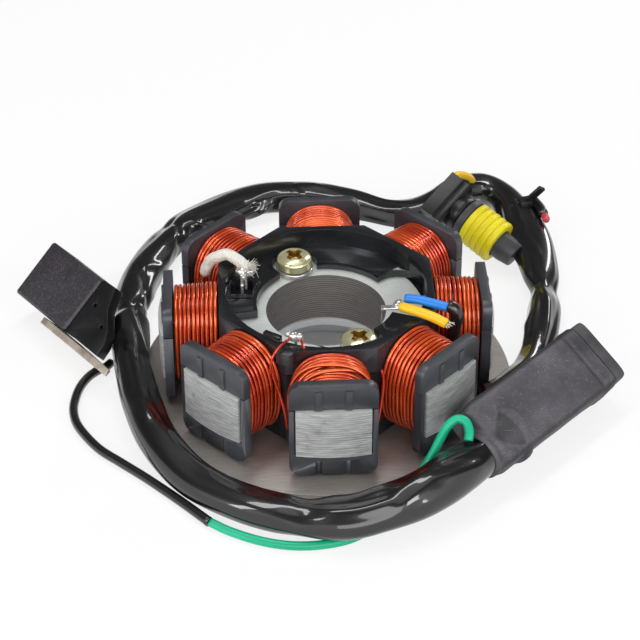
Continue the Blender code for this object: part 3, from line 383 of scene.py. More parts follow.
def newPiece(name, vertices, faces, material):
    mesh = bpy.data.meshes.new(name)
    mesh.from_pydata([tuple(v) for v in vertices], [], faces)
    mesh.validate()
    mesh.materials.append(material)
    mesh.shade_smooth()
    piece = bpy.data.objects.new(name, mesh)
    bpy.context.scene.collection.objects.link(piece)
    return piece


def keepOnPoints(piece, name, values, kind="FLOAT", field="value"):
    # numbers that the piece's material reads
    made = piece.data.attributes.new(name, kind, "POINT")
    made.data.foreach_set(field, np.array(values, np.float32).ravel())


def tubeFaces(rings, sides):
    faces = []
    for i in range(rings - 1):
        for j in range(sides):
            k = (j + 1) % sides
            faces.append((i * sides + j, i * sides + k, (i + 1) * sides + k, (i + 1) * sides + j))
    faces.append(tuple(reversed(range(sides))))
    faces.append(tuple(range((rings - 1) * sides, rings * sides)))
    return faces


def tubePiece(name, centres, radius, material, sides, level=False, squash=(1.0, 1.0), toneAndShade=None):
    # radius is one number, one for each ring, or one for each ring and side
    count = len(centres)
    side, up = ringFrames(centres, level)
    turn = roundAngles(sides)
    radii = np.broadcast_to(np.array(radius, float).reshape(-1, 1) if np.ndim(radius) < 2 else radius,
                            (count, sides))
    cosines, sines = np.cos(turn)[None, :, None], np.sin(turn)[None, :, None]
    wide, high = [np.broadcast_to(np.array(v, float).reshape(-1, 1, 1), (count, 1, 1)) for v in squash]
    points = (centres[:, None, :] + radii[:, :, None]
              * (cosines * wide * side[:, None, :] + sines * high * up[:, None, :]))
    piece = newPiece(name, points.reshape(-1, 3), tubeFaces(count, sides), material)
    lay = [np.broadcast_to(v, (count, sides))
           for v in (np.cos(turn), np.sin(turn), distances(centres)[:, None])]
    keepOnPoints(piece, "lay", np.stack(lay, axis=2), "FLOAT_VECTOR", "vector")
    if toneAndShade is not None:
        keepOnPoints(piece, "toneAndShade", np.repeat(toneAndShade, sides))
    return piece


def settle(piece, slotName, *replaced):
    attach(piece, "root")
    if replaced:
        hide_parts(*replaced)
    return piece


def joinPieces(name, pieces):
    bpy.ops.object.select_all(action="DESELECT")
    for piece in pieces:
        piece.select_set(True)
    bpy.context.view_layer.objects.active = pieces[0]
    bpy.ops.object.join()
    pieces[0].name = name
    pieces[0].data.name = name
    return pieces[0]


# the thin sleeve and the green wire

thin = {"diameter": 0.0026, "sides": 24, "step": 0.0008, "dent": 0.05, "ripple": 60.0}
flat = thin["diameter"] / 2
thinKnots = [(-.0578, .0088), (-.0590, .0070), (-.0610, .0056), (-.0634, .0030), (-.0654, -.0010),
             (-.0666, -.0060), (-.0669, -.0120), (-.0652, -.0186), (-.0600, -.0272), (-.0541, -.0332),
             (-.0473, -.0398), (-.0390, -.0486), (-.0314, -.0572)]
thinCentres, thinMarks = smoothRoute([(x, y, flat) for x, y in thinKnots], thin["step"])
thinWave = np.sin(2 * roundAngles(thin["sides"])[None, :] + thin["ripple"] * thinMarks[:, None])
thinRadii = flat * (1 - thin["dent"] * (1 + thinWave) / 2)
thinSleeve = tubePiece("thinSleeve", thinCentres, thinRadii, thinSleeveFinish, thin["sides"])
settle(thinSleeve, "black_sleeving", "pickup_sleeve")

green = {"diameter": 0.0023, "sides": 20, "step": 0.0007}
flat = green["diameter"] / 2
greenKnots = [
    (-.0311, -.0575, flat + .0003), (-.0262, -.0608, flat), (-.0188, -.0646, flat), (-.0113, -.0666, flat),
    (-.0040, -.0666, flat), (.0030, -.0648, flat), (.0084, -.0610, flat), (.0124, -.0560, flat),
    (.0158, -.0514, .0022), (.0192, -.0480, .0038), (.0226, -.0448, .0062), (.0248, -.0432, .0094),
    (.0266, -.0420, .0130), (.0284, -.0410, .0162), (.0308, -.0403, .0180), (.0330, -.0411, .0177),
    (.0337, -.0432, .0164), (.0334, -.0452, .0149)]
greenCentres, greenMarks = smoothRoute(greenKnots, green["step"])
greenWire = tubePiece("greenWire", greenCentres, flat, greenSkin, green["sides"])
settle(greenWire, "green_insulation", "green_wire")
print("thin sleeve", round(thinMarks[-1], 4), "green wire", round(greenMarks[-1], 4))


# the harness sleeve

harness = {"diameter": 0.0096, "slim": 0.83, "swell": (0.066, 0.088), "step": 0.0009, "sides": 96,
           "wires": 4, "wireDepth": 0.09, "twist": 30.0, "seed": 7, "facets": 18, "creases": 6, "calm": 1.5,
           "foldSpread": 1.15, "floor": 0.0001, "overWire": 0.0004, "besideWire": 0.0003}
flat = harness["diameter"] / 2
low = flat * harness["slim"]
over = 0.0023 + low
harnessKnots = [
    (.0402, -.0164, over), (.0429, -.0158, over), (.0460, -.0136, over + .0001), (.0496, -.0096, over),
    (.0529, -.0044, .0051), (.0558, .0026, low + .0001), (.0588, .0120, low), (.0612, .0230, low),
    (.0626, .0340, low), (.0632, .0460, flat), (.0626, .0580, flat), (.0604, .0690, flat),
    (.0562, .0782, .0058), (.0500, .0824, .0080), (.0430, .0798, .0083), (.0366, .0752, .0062),
    (.0298, .0728, flat), (.0218, .0734, flat), (.0106, .0786, flat), (-.0039, .0838, flat),
    (-.0150, .0860, flat), (-.0245, .0832, flat), (-.0336, .0772, flat), (-.0415, .0700, flat),
    (-.0464, .0612, flat), (-.0500, .0520, flat), (-.0524, .0420, flat), (-.0536, .0310, flat),
    (-.0535, .0200, flat + .0003), (-.0524, .0080, .0066), (-.0508, -.0050, .0077),
    (-.0484, -.0180, .0077), (-.0437, -.0318, .0062), (-.0349, -.0448, flat), (-.0222, -.0545, flat),
    (-.0092, -.0596, flat + .0002), (.0010, -.0604, .0062), (.0095, -.0594, .0073),
    (.0180, -.0570, .0077), (.0248, -.0534, .0082), (.0302, -.0495, .0087), (.0343, -.0461, .0089),
    (.0378, -.0426, .0089), (.0400, -.0404, .0089)]


def windowed(s, middle, width):
    return np.exp(-((s - middle) / width) ** 2)


def wrapped(angle):
    return (angle + math.pi) % (2 * math.pi) - math.pi


lie = [  # place along the sleeve; how far it lies off its wires in x, y and z, in mm; its width and height
    (0.000, 0.0, 0.0, 0.0, 1.05, 0.97), (0.060, 0.0, 0.0, 0.0, 1.05, 0.97),
    (0.078, -1.4, 0.0, 0.4, 1.10, 0.97), (0.092, -2.4, 0.0, 1.4, 1.15, 0.97),
    (0.102, -1.2, 0.0, 0.6, 1.05, 0.90), (0.112, 0.0, -0.6, -0.8, 1.15, 0.80),
    (0.125, 0.0, 0.0, 0.0, 1.05, 0.97), (0.165, 0.0, 0.0, 0.0, 1.10, 0.97),
    (0.176, 0.0, -1.6, -0.4, 1.20, 0.92), (0.187, 0.0, -3.2, -0.8, 1.40, 0.82),
    (0.197, 0.6, -3.8, -0.9, 1.42, 0.80), (0.207, 1.6, -3.0, -0.6, 1.30, 0.88),
    (0.216, 3.2, -1.8, 0.0, 1.10, 1.00), (0.227, 3.4, -0.4, 0.0, 0.95, 1.00),
    (0.237, 2.6, 0.0, 0.0, 1.00, 1.00), (0.248, 1.4, 0.0, 0.0, 1.05, 0.97),
    (0.262, 0.4, 0.0, 0.0, 1.05, 0.97), (0.281, 0.0, 0.0, 0.0, 1.08, 0.97),
    (0.345, 0.0, 0.0, 0.0, 1.10, 1.00), (0.360, 0.0, -0.3, 0.0, 1.15, 1.02),
    (0.372, 0.0, -1.0, -0.5, 1.42, 1.05), (0.379, 0.0, -1.7, -0.7, 1.50, 1.08),
    (0.388, 0.0, -0.9, -0.3, 1.50, 1.20), (0.399, 0.2, -0.3, 0.2, 1.45, 1.28),
    (0.409, 0.2, 0.0, 0.3, 1.34, 1.22), (0.421, 0.0, 0.0, 0.0, 1.02, 0.97)]
folds = [  # height in mm, width towards the ground and towards the top, then places along and angles round
    (0.55, 1.3, 0.6, [(.3084, 1.31), (.3138, 1.57), (.3195, 1.70), (.3270, 1.80), (.3327, 1.96),
                      (.3400, 2.05), (.3479, 1.95), (.3524, 2.05), (.3578, 1.83), (.3623, 1.70),
                      (.3659, 1.57)]),
    (-0.40, 0.6, 0.9, [(.3260, 2.10), (.3340, 2.28), (.3430, 2.38), (.3530, 2.36), (.3600, 2.15)]),
    (0.60, 0.9, 0.6, [(.3672, 1.50), (.3731, 1.24), (.3800, 1.12), (.3866, 1.02)]),
    (-0.55, 0.7, 0.7, [(.3655, 1.95), (.3690, 1.72), (.3740, 1.52), (.3800, 1.42), (.3866, 1.36)]),
    (0.60, 1.0, 0.7, [(.3900, 1.30), (.3950, 1.58), (.4001, 1.72), (.4073, 1.64), (.4120, 1.40),
                      (.4163, 1.31)]),
    (0.45, 1.0, 0.9, [(.3880, 0.70), (.3930, 0.98), (.3983, 1.24), (.4040, 0.92), (.4100, 0.60)]),
    (-0.45, 0.8, 0.8, [(.4010, 1.45), (.4060, 1.25), (.4120, 0.95)]),
    (0.55, 0.8, 0.6, [(.2860, 1.50), (.2940, 1.56), (.3039, 1.57), (.3100, 1.50), (.3138, 1.31)]),
    (0.50, 0.8, 0.6, [(.3060, 1.75), (.3102, 1.86), (.3147, 2.03), (.3201, 1.98)]),
    (-0.50, 1.2, 0.9, [(.2780, 1.20), (.2841, 1.14), (.2949, 1.10), (.3021, 1.11)]),
    (-0.60, 0.8, 1.2, [(.2870, 2.30), (.2960, 2.20), (.3040, 2.12), (.3120, 2.40)]),
    (-0.95, 0.8, 0.7, [(.2170, 1.50), (.2190, 1.95), (.2239, 2.62), (.2266, 3.40)]),
    (0.55, 0.7, 0.7, [(.2195, 1.55), (.2225, 2.10), (.2280, 2.55), (.2338, 2.90)]),
    (0.65, 0.6, 0.6, [(.2145, 2.20), (.2105, 2.75), (.2125, 3.30), (.2170, 3.75)]),
    (-0.60, 1.0, 1.0, [(.2180, 2.70), (.2165, 3.40)]),
    (0.60, 0.7, 0.6, [(.2086, 3.34), (.2032, 2.88), (.1960, 2.55), (.1924, 2.36)]),
    (-0.60, 0.8, 0.8, [(.2050, 3.50), (.1990, 3.10), (.1920, 2.80), (.1870, 2.60)]),
    (0.40, 0.8, 0.6, [(.1879, 2.23), (.1834, 2.09), (.1789, 1.96)]),
    (0.55, 0.7, 0.6, [(.1900, 3.75), (.1865, 3.45), (.1825, 3.10), (.1800, 2.70)]),
    (-0.60, 0.8, 0.8, [(.1740, 1.20), (.1726, 1.83), (.1699, 2.40), (.1690, 3.00)]),
    (0.45, 0.7, 0.7, [(.1715, 1.50), (.1695, 2.00), (.1672, 2.50)]),
    (0.40, 1.0, 0.7, [(.1672, 1.44), (.1627, 1.70), (.1582, 1.96), (.1480, 2.10), (.1400, 2.20)]),
    (-0.90, 0.8, 0.8, [(.2440, 1.40), (.2454, 1.77), (.2526, 2.55), (.2571, 3.20)]),
    (0.60, 0.6, 0.6, [(.2425, 1.75), (.2400, 2.40), (.2375, 3.10), (.2347, 3.53)]),
    (0.55, 0.6, 0.6, [(.2400, 3.60), (.2445, 3.50), (.2517, 3.27)]),
    (-0.75, 0.7, 0.7, [(.2625, 0.90), (.2612, 1.40), (.2585, 2.23), (.2575, 2.90)]),
    (0.65, 0.9, 0.5, [(.2625, 1.83), (.2670, 2.02), (.2724, 2.23), (.2800, 2.48), (.2859, 2.68)]),
    (-1.00, 0.7, 1.1, [(.2625, 2.40), (.2690, 2.62), (.2760, 2.90), (.2830, 3.10)]),
    (0.60, 0.6, 0.6, [(.2640, 3.05), (.2700, 3.25), (.2769, 3.40)]),
    (0.50, 0.9, 0.6, [(.1180, 2.10), (.1097, 2.29), (.1007, 2.03), (.0944, 2.03), (.0872, 2.75)]),
    (-0.60, 0.8, 0.8, [(.0960, 2.60), (.0900, 3.00), (.0830, 2.60), (.0700, 2.30), (.0602, 2.29)]),
    (0.50, 0.9, 0.7, [(.0935, 1.60), (.0863, 1.80), (.0791, 1.90), (.0700, 1.60)]),
    (0.60, 0.7, 0.6, [(.0548, 1.77), (.0468, 1.31), (.0360, 1.05), (.0279, 0.92)]),
    (-0.55, 0.8, 0.8, [(.0530, 1.90), (.0450, 1.72), (.0340, 1.60)]),
    (0.50, 0.7, 0.6, [(.0540, 1.95), (.0441, 2.05), (.0324, 2.12)])]


def folded(shape, s, turn, radius):
    # each fold is a line on the unrolled sleeve: the skin rises to it or sinks into it
    along = np.broadcast_to(s, shape.shape) * 1000  # in mm, as the folds are
    across = np.broadcast_to(turn, shape.shape) * radius * 1000
    for height, lower, upper, points in folds:
        route = np.array([(a * 1000, b * radius * 1000) for a, b in points])
        nearest, signed = np.full(shape.shape, 1e9), np.zeros(shape.shape)
        for (x0, y0), (x1, y1) in zip(route, route[1:]):
            dx, dy = x1 - x0, y1 - y0
            t = np.clip(((along - x0) * dx + (across - y0) * dy) / (dx * dx + dy * dy), 0, 1)
            gap = np.hypot(along - x0 - t * dx, across - y0 - t * dy)
            closer = gap < nearest
            nearest = np.where(closer, gap, nearest)
            above = (across - y0 - t * dy) * (1 if dx > 0 else -1)
            signed = np.where(closer, np.sign(above + 1e-9), signed)
        spread = np.where(signed > 0, upper, lower) * harness["foldSpread"]
        shape = shape + height / (radius * 1000) * np.exp(-(nearest / spread) ** 2)
    return shape


def sleeveRadii(marks):
    # the soft sleeve drapes over the wires inside it: flat facets, long ridges, creases and folds
    rng = np.random.default_rng(harness["seed"])
    turn = roundAngles(harness["sides"])[None, :]
    s = marks[:, None]
    total = marks[-1]
    rise = np.clip((s / total - harness["swell"][0]) / (harness["swell"][1] - harness["swell"][0]), 0, 1)
    size = harness["diameter"] / 2 * (harness["slim"] + (1 - harness["slim"]) * rise)

    def drift(low, high, count):  # a value that changes slowly along the sleeve
        return np.interp(marks, np.linspace(0, total, count), rng.uniform(low, high, count))[:, None]

    wander = drift(-0.9, 0.9, 14)
    depth = drift(0.1, 1.5, 22)
    phase = harness["twist"] * s + wander
    ridge = np.abs(np.sin(harness["wires"] * turn / 2 + phase)) ** 0.7
    shape = 1 - harness["wireDepth"] * depth * (1 - ridge)
    oval = drift(0.0, 0.13, 26)
    lean = drift(-0.7, 0.7, 12)
    shape = shape * (1 + oval * np.cos(2 * (turn - lean)))
    for _ in range(harness["facets"]):  # a facet is a chord that cuts the round off
        middle = total * rng.uniform(0.0, 1.0) ** harness["calm"]
        length = rng.uniform(0.010, 0.030)
        angle = rng.uniform(-0.2, math.pi + 0.2) + rng.uniform(-9, 9) * (s - middle)
        chord = 1 - rng.uniform(0.08, 0.24) * np.clip(1.25 - np.abs((s - middle) / length) ** 2, 0, 1)
        away = np.cos(wrapped(turn - angle))
        shape = np.where(away > 0.2, np.minimum(shape, chord / np.maximum(away, 0.2)), shape)
    for _ in range(harness["creases"]):
        start = 0.01 + (total - 0.04) * rng.uniform(0.0, 1.0) ** harness["calm"]
        length = rng.uniform(0.008, 0.040)
        angle = rng.uniform(-0.4, math.pi + 0.4)
        slope = rng.uniform(-30, 30)
        width = rng.uniform(0.08, 0.20)
        fade = np.sin(np.clip((s - start) / length, 0, 1) * math.pi)
        away = wrapped(turn - angle - slope * (s - start))
        shape = shape - rng.uniform(0.04, 0.12) * fade * np.maximum(0, 1 - np.abs(away) / width)
    shape = folded(shape, s, turn, harness["diameter"] / 2)
    shape[1:-1] = (shape[:-2] + shape[1:-1] + shape[2:]) / 3  # soft rubbery skin: no sharp steps
    for _ in range(3):
        shape = (np.roll(shape, 1, axis=1) + shape + np.roll(shape, -1, axis=1)) / 3
    return size * shape, s, turn


pinches = [  # place along the sleeve, width, squeeze, pleats, depth
    (0.0560, 0.0045, 0.22, 4, 0.14), (0.1450, 0.0060, 0.10, 5, 0.10), (0.2180, 0.0040, 0.10, 4, 0.12),
    (0.2600, 0.0050, 0.12, 4, 0.12), (0.3670, 0.0050, 0.08, 4, 0.08)]
ribbons = [  # place, length, how wide it spreads, the direction of the wide side
    (0.0830, 0.022, 0.22, 0.5), (0.2200, 0.018, 0.16, -0.5), (0.2700, 0.022, 0.15, 0.6)]
centres, marks = smoothRoute(harnessKnots, harness["step"])
places, *columns = np.array(lie).T
offX, offY, offZ, wide, high = [np.convolve(np.pad(np.interp(marks, places, column), 4, "edge"),
                                            np.ones(9) / 9, "valid") for column in columns]
centres = centres + np.stack([offX, offY, offZ], axis=1) * 0.001
radii, s, turn = sleeveRadii(marks)
for middle, length, spread, lean in ribbons:
    radii = radii * (1 + spread * windowed(s, middle, length) * np.cos(2 * (turn - lean - 40 * (s - middle))))
for middle, width, squeeze, pleats, depth in pinches:
    near = windowed(s, middle, width)
    pleat = (1 - np.cos(pleats * turn + 120 * (s - middle))) / 2
    radii = radii * (1 - squeeze * near) * (1 - depth * near * pleat)
harnessSleeve = tubePiece("harnessSleeve", centres, radii, sleeveFinish, harness["sides"], True, (wide, high))
rises = greenCentres[:, 2] >= 0.0035
wireUnder = greenCentres[~rises & (greenCentres[:, 0] > 0)]
wireBeside = greenCentres[rises]
for index, vertex in enumerate(harnessSleeve.data.vertices):  # it rests on the floor and on the green wire
    ground = harness["floor"]
    if vertex.co.z < centres[index // harness["sides"]][2] and vertex.co.y < -0.04:
        gaps = np.hypot(wireUnder[:, 0] - vertex.co.x, wireUnder[:, 1] - vertex.co.y)
        under = green["diameter"] / 2 + harness["overWire"]
        if gaps.min() < under:
            ground = wireUnder[gaps.argmin()][2] + math.sqrt(under ** 2 - gaps.min() ** 2)
    vertex.co.z = max(vertex.co.z, ground)
    gaps = np.linalg.norm(wireBeside - np.array(vertex.co), axis=1)
    dent = green["diameter"] / 2 + harness["besideWire"] - gaps.min()
    if dent > 0:  # and it gives way where the green wire leaves it
        vertex.co += (Vector(centres[index // harness["sides"]]) - vertex.co).normalized() * dent
settle(harnessSleeve, "black_sleeving", "harness_sleeve")
print("harness sleeve", round(marks[-1], 4))


# edit mode helpers

def only(piece):
    bpy.ops.object.select_all(action="DESELECT")
    piece.select_set(True)
    bpy.context.view_layer.objects.active = piece


def applyModifier(piece, kind, **settings):
    only(piece)
    modifier = piece.modifiers.new(kind.lower(), kind)
    for key, value in settings.items():
        setattr(modifier, key, value)
    bpy.ops.object.modifier_apply(modifier=modifier.name)
    return piece


def softEdges(piece, width, segments=2, degrees=35.0):
    applyModifier(piece, "BEVEL", width=width, segments=segments, limit_method="ANGLE",
                  angle_limit=math.radians(degrees), miter_outer="MITER_ARC")
    return smoothBy(piece, 38.0)


def smoothBy(piece, degrees):
    only(piece)
    bpy.ops.object.shade_smooth_by_angle(angle=math.radians(degrees))
    return piece


def openMesh(piece):
    # edit mode, with the whole mesh selected
    only(piece)
    bpy.ops.object.mode_set(mode="EDIT")
    bpy.ops.mesh.select_all(action="SELECT")


def closeMesh(piece):
    bpy.ops.object.mode_set(mode="OBJECT")
    return piece


def copyNode(node, name, material):
    # the node's shape as a new piece, its triangles merged and joined into whole faces
    piece = bpy.data.objects.new(name, nodes[node].data.copy())
    bpy.context.scene.collection.objects.link(piece)
    piece.data.name = name
    openMesh(piece)
    bpy.ops.mesh.remove_doubles(threshold=0.000002)
    bpy.ops.mesh.dissolve_limited(angle_limit=math.radians(0.6))
    return onlyFinish(closeMesh(piece), material)


def onlyFinish(piece, material):
    piece.data.materials.clear()
    piece.data.materials.append(material)
    return piece


def dressNode(node, name, material, slotName, edge):
    # a node whose shape is right, with its edges eased
    return settle(softEdges(copyNode(node, name, material), edge), slotName, node)


def roundCorners(piece):
    # the flange corners, cut at 45 degrees on the node, get their round; notched faces are split after
    low, high = moulding["bend"]
    openMesh(piece)
    bpy.ops.mesh.select_mode(type="EDGE")
    bpy.ops.mesh.select_all(action="DESELECT")
    work = bmesh.from_edit_mesh(piece.data)
    for edge in work.edges:
        first, last = [v.co for v in edge.verts]
        outward = Vector(((first.x + last.x) / 2, (first.y + last.y) / 2, 0))
        beyond = outward.length > moulding["beyond"]
        if beyond and len(edge.link_faces) == 2 and low < edge.calc_face_angle() < high:
            edge.select = abs((last - first).normalized().dot(outward.normalized())) > moulding["radial"]
    bmesh.update_edit_mesh(piece.data)
    bpy.ops.mesh.bevel(offset=moulding["corner"], segments=4, affect="EDGES", clamp_overlap=True)
    openMesh(closeMesh(piece))  # the faces settle before they are split
    bpy.ops.mesh.vert_connect_concave()
    return closeMesh(piece)


def roughen(piece, depth, scale, seed=0.0):
    # hand-worked unevenness, moved in along the normals
    moves = []
    for vertex in piece.data.vertices:
        level = noise.noise(vertex.co * scale + Vector((seed, 0, 0)))
        moves.append(vertex.co + vertex.normal * depth * level)
    for vertex, place in zip(piece.data.vertices, moves):
        vertex.co = place
    return piece


def turnUp(name, profile, sides, material, matrix=None):
    # a circle extruded upwards through the (radius, height) steps of a profile, closed at both ends
    bpy.ops.object.select_all(action="DESELECT")
    bpy.ops.mesh.primitive_circle_add(vertices=sides, radius=1.0, fill_type="NGON", location=(0, 0, 0))
    piece = bpy.context.object
    piece.name = name
    bpy.ops.object.mode_set(mode="EDIT")
    bpy.ops.mesh.select_all(action="SELECT")
    first = profile[0]
    bpy.ops.transform.resize(value=(first[0], first[0], 1), center_override=(0, 0, 0))
    bpy.ops.transform.translate(value=(0, 0, first[1]))
    for (r0, z0), (r1, z1) in zip(profile, profile[1:]):
        bpy.ops.mesh.extrude_region_move(TRANSFORM_OT_translate={"value": (0, 0, z1 - z0)})
        bpy.ops.transform.resize(value=(r1 / r0, r1 / r0, 1), center_override=(0, 0, z1))
    bpy.ops.mesh.select_all(action="SELECT")
    bpy.ops.mesh.normals_make_consistent(inside=False)
    bpy.ops.object.mode_set(mode="OBJECT")
    piece.data.materials.append(material)
    if matrix is not None:
        piece.data.transform(matrix)
    return smoothBy(piece, 40.0)


def cutWith(piece, tool, operation="DIFFERENCE"):
    applyModifier(piece, "BOOLEAN", operation=operation, solver="EXACT", object=tool,
                  material_mode="TRANSFER")
    bpy.data.objects.remove(tool)
    return piece


def drill(piece, radius, low, high, sides, matrix=None):
    hole = turnUp("hole", [(radius, low), (radius, high)], sides, piece.data.materials[0], matrix)
    return cutWith(piece, hole)


def block(name, low, high, material, matrix):
    # a box between two corners, in its own frame
    bpy.ops.object.select_all(action="DESELECT")
    size = [b - a for a, b in zip(low, high)]
    middle = [(a + b) / 2 for a, b in zip(low, high)]
    bpy.ops.mesh.primitive_cube_add(size=1.0, location=(0, 0, 0))
    piece = bpy.context.object
    piece.name = name
    piece.data.transform(Matrix.Translation(middle) @ Matrix.Diagonal((*size, 1)))
    piece.data.transform(matrix)
    piece.data.materials.append(material)
    return piece


def axesFrame(x, y, z, origin):
    # the axes of a piece and its origin, as one matrix
    made = Matrix((x, y, z)).transposed().to_4x4()
    made.translation = Vector(origin)
    return made


def oval(angle, halfWide, halfHigh, fullness):
    # points of a superellipse: 2 is round, and more is squarer
    c, s = np.cos(angle), np.sin(angle)
    bend = 2 / fullness
    return halfWide * np.sign(c) * np.abs(c) ** bend, halfHigh * np.sign(s) * np.abs(s) ** bend


# the base plate

plate = {"radius": 0.0495, "sheet": 0.0020, "edge": 0.0004, "hubFoot": 0.0243, "hubTop": 0.0232,
         "hubHeight": 0.0093, "round": 0.0006, "sides": 160, "hole": 0.0153, "holeSides": 96,
         "screwRing": 0.020, "screwHole": 0.0028, "screwAngles": (112.5, -67.5), "through": (0.0, 0.02)}
rim, sheet, edge = plate["radius"], plate["sheet"], plate["edge"]
foot, top, height, ease = plate["hubFoot"], plate["hubTop"], plate["hubHeight"], plate["round"]
basePlate = turnUp("basePlate", [
    (rim - edge, 0), (rim - 0.3 * edge, 0.3 * edge), (rim, edge), (rim, sheet - edge),
    (rim - 0.3 * edge, sheet - 0.3 * edge), (rim - edge, sheet), (foot + 3 * edge, sheet),
    (foot + edge, sheet + 0.3 * edge), (foot, sheet + 1.5 * edge), (top, height - ease),
    (top - 0.3 * ease, height - 0.3 * ease), (top - ease, height)], plate["sides"], plateFinish)
hollow = [(foot - sheet, -0.001), (foot - sheet, 0.0), (top - sheet, height - sheet)]
cutWith(basePlate, turnUp("hollow", hollow, plate["holeSides"], plateFinish))
drill(basePlate, plate["hole"], *plate["through"], plate["holeSides"])
screwPlaces = [(plate["screwRing"] * math.cos(a), plate["screwRing"] * math.sin(a), a)
               for a in map(math.radians, plate["screwAngles"])]
for x, y, angle in screwPlaces:
    drill(basePlate, plate["screwHole"], *plate["through"], 24, Matrix.Translation((x, y, 0)))
settle(smoothBy(basePlate, 38.0), "plate_steel", "base_plate")
print("base plate")


# the laminated core

def laminatedCore():
    # the node, with a groove at each joint between two sheets
    piece = copyNode("laminated_core", "laminatedCore", lamSide)
    openMesh(piece)
    joints = [laminations["bottom"] + laminations["pitch"] * i for i in range(1, laminations["sheets"])]
    for joint in joints:
        for offset in (-laminations["half"], 0.0, laminations["half"]):
            bpy.ops.mesh.select_all(action="SELECT")
            bpy.ops.mesh.bisect(plane_co=(0, 0, joint + offset), plane_no=(0, 0, 1))
    bpy.ops.object.mode_set(mode="OBJECT")
    normals = [vertex.normal.copy() for vertex in piece.data.vertices]
    for vertex, normal in zip(piece.data.vertices, normals):
        nearest = min(joints, key=lambda j: abs(j - vertex.co.z))
        if abs(nearest - vertex.co.z) < laminations["half"] * 1.5:
            wave = noise.noise(vertex.co * laminations["waves"]) * laminations["waveSize"]
            if abs(nearest - vertex.co.z) < laminations["half"] * 0.5:
                vertex.co -= Vector((normal.x, normal.y, 0)) * laminations["groove"]
            vertex.co.z += wave
    piece.data.materials.append(lamTop)
    for polygon in piece.data.polygons:
        if abs(polygon.normal.z) > 0.8 and polygon.area > 0.00001:
            polygon.material_index = 1
    return settle(smoothBy(piece, 30.0), "lamination_steel", "laminated_core")


laminatedCore()
print("laminated core")


# the moulded frames

moulding = {"corner": 0.0012, "beyond": 0.038, "bend": (0.5, 1.1), "radial": 0.93, "edge": 0.00022}
for node, name in (("lower_frame", "lowerFrame"), ("upper_frame", "upperFrame")):
    piece = roundCorners(copyNode(node, name, charcoal))
    settle(softEdges(piece, moulding["edge"]), "charcoal_moulding", node)
print("frames")


# the windings

winding = {"turns": 10, "wire": 0.00098, "start": 0.0283, "stop": 0.0397, "middle": 0.0173,
           "halfWidth": 0.01010, "rise": 0.01310, "fullness": 2.5, "steps": 60, "sides": 12,
           "taper": 0.0006, "wobble": 0.00009, "lift": 0.00013, "stepsOver": 0.12, "seed": 100}
layers = [  # how far in, how far along, turns, and how dark it is painted; the lower layer lies in shade, so it is painted dark
    (0.0, 0.0, winding["turns"], 0.0), (0.00086, 0.00057, winding["turns"] - 1, 1.6)]
crossings = [  # where a loose turn starts and ends along the pole, and how far it lies off it
    (0.0012, 0.0078, 0.00085), (0.0034, 0.0098, 0.0009), (0.0082, 0.0030, 0.00175)]
crossing = {"steps": 80, "from": -28, "sweep": 236, "sink": 0.0005, "inset": 0.0008, "sway": 0.0002}


def windingPath(rng, turns, drop, shift):
    # the turns lie side by side; each steps over to the next place under the pole
    steps, wire = winding["steps"], winding["wire"]
    t = np.arange(turns * steps + 1) / steps
    whole = np.minimum(np.floor(t), turns - 1)
    part = t - whole
    jog = np.clip((part - (1 - winding["stepsOver"])) / winding["stepsOver"], 0, 1)
    place = whole + jog * jog * (3 - 2 * jog)
    pitch = (winding["stop"] - winding["start"] - wire) / (winding["turns"] - 1)
    angle = -math.pi / 2 + 2 * math.pi * part
    sway = np.zeros_like(t)
    lift = np.zeros_like(t)
    for wave in (1, 2, 3):
        size = rng.normal(0, 1.0, turns + 1) / wave
        also = rng.normal(0, 1.0, turns + 1) / wave
        sway += np.sin(wave * angle * 0.5 + 1.3 * wave) * np.interp(t, np.arange(turns + 1), size)
        lift += np.cos(wave * angle * 0.5 + 0.7 * wave) * np.interp(t, np.arange(turns + 1), also)
    x = winding["start"] + wire / 2 + pitch * place + shift + winding["wobble"] * sway
    x = np.clip(x, winding["start"] + wire / 2, winding["stop"] - wire / 2)
    shrink = drop + winding["taper"] * (place / (winding["turns"] - 1)) - winding["lift"] * lift
    y, z = oval(angle, winding["halfWidth"] - shrink, winding["rise"] - shrink, winding["fullness"])
    tones = rng.uniform(0, 1, turns + 1)
    return np.stack([x, y, winding["middle"] + z], axis=1), np.interp(t, np.arange(turns + 1), tones)


def turned(points, angle):
    # from the pole's own frame to its place round the bore
    c, s = math.cos(angle), math.sin(angle)
    x, y, z = points.T
    return np.stack([x * c - y * s, x * s + y * c, z], axis=1)


def markGapShade(piece, route, angle):
    # painted shade between the turns: 0 on the outer side of each turn, 1 where it faces its neighbours or
    # the bobbin
    points = np.empty(len(piece.data.vertices) * 3)
    piece.data.vertices.foreach_get("co", points)
    offset = points.reshape(len(route), -1, 3) - turned(route, angle)[:, None, :]
    outward = route - (0, 0, winding["middle"])
    outward[:, 0] = 0
    outward = turned(outward / np.linalg.norm(outward, axis=1)[:, None], angle)
    facing = (offset * outward[:, None, :]).sum(axis=2) / (winding["wire"] / 2)
    keepOnPoints(piece, "gap", np.clip((0.55 - facing) / 0.7, 0, 1))


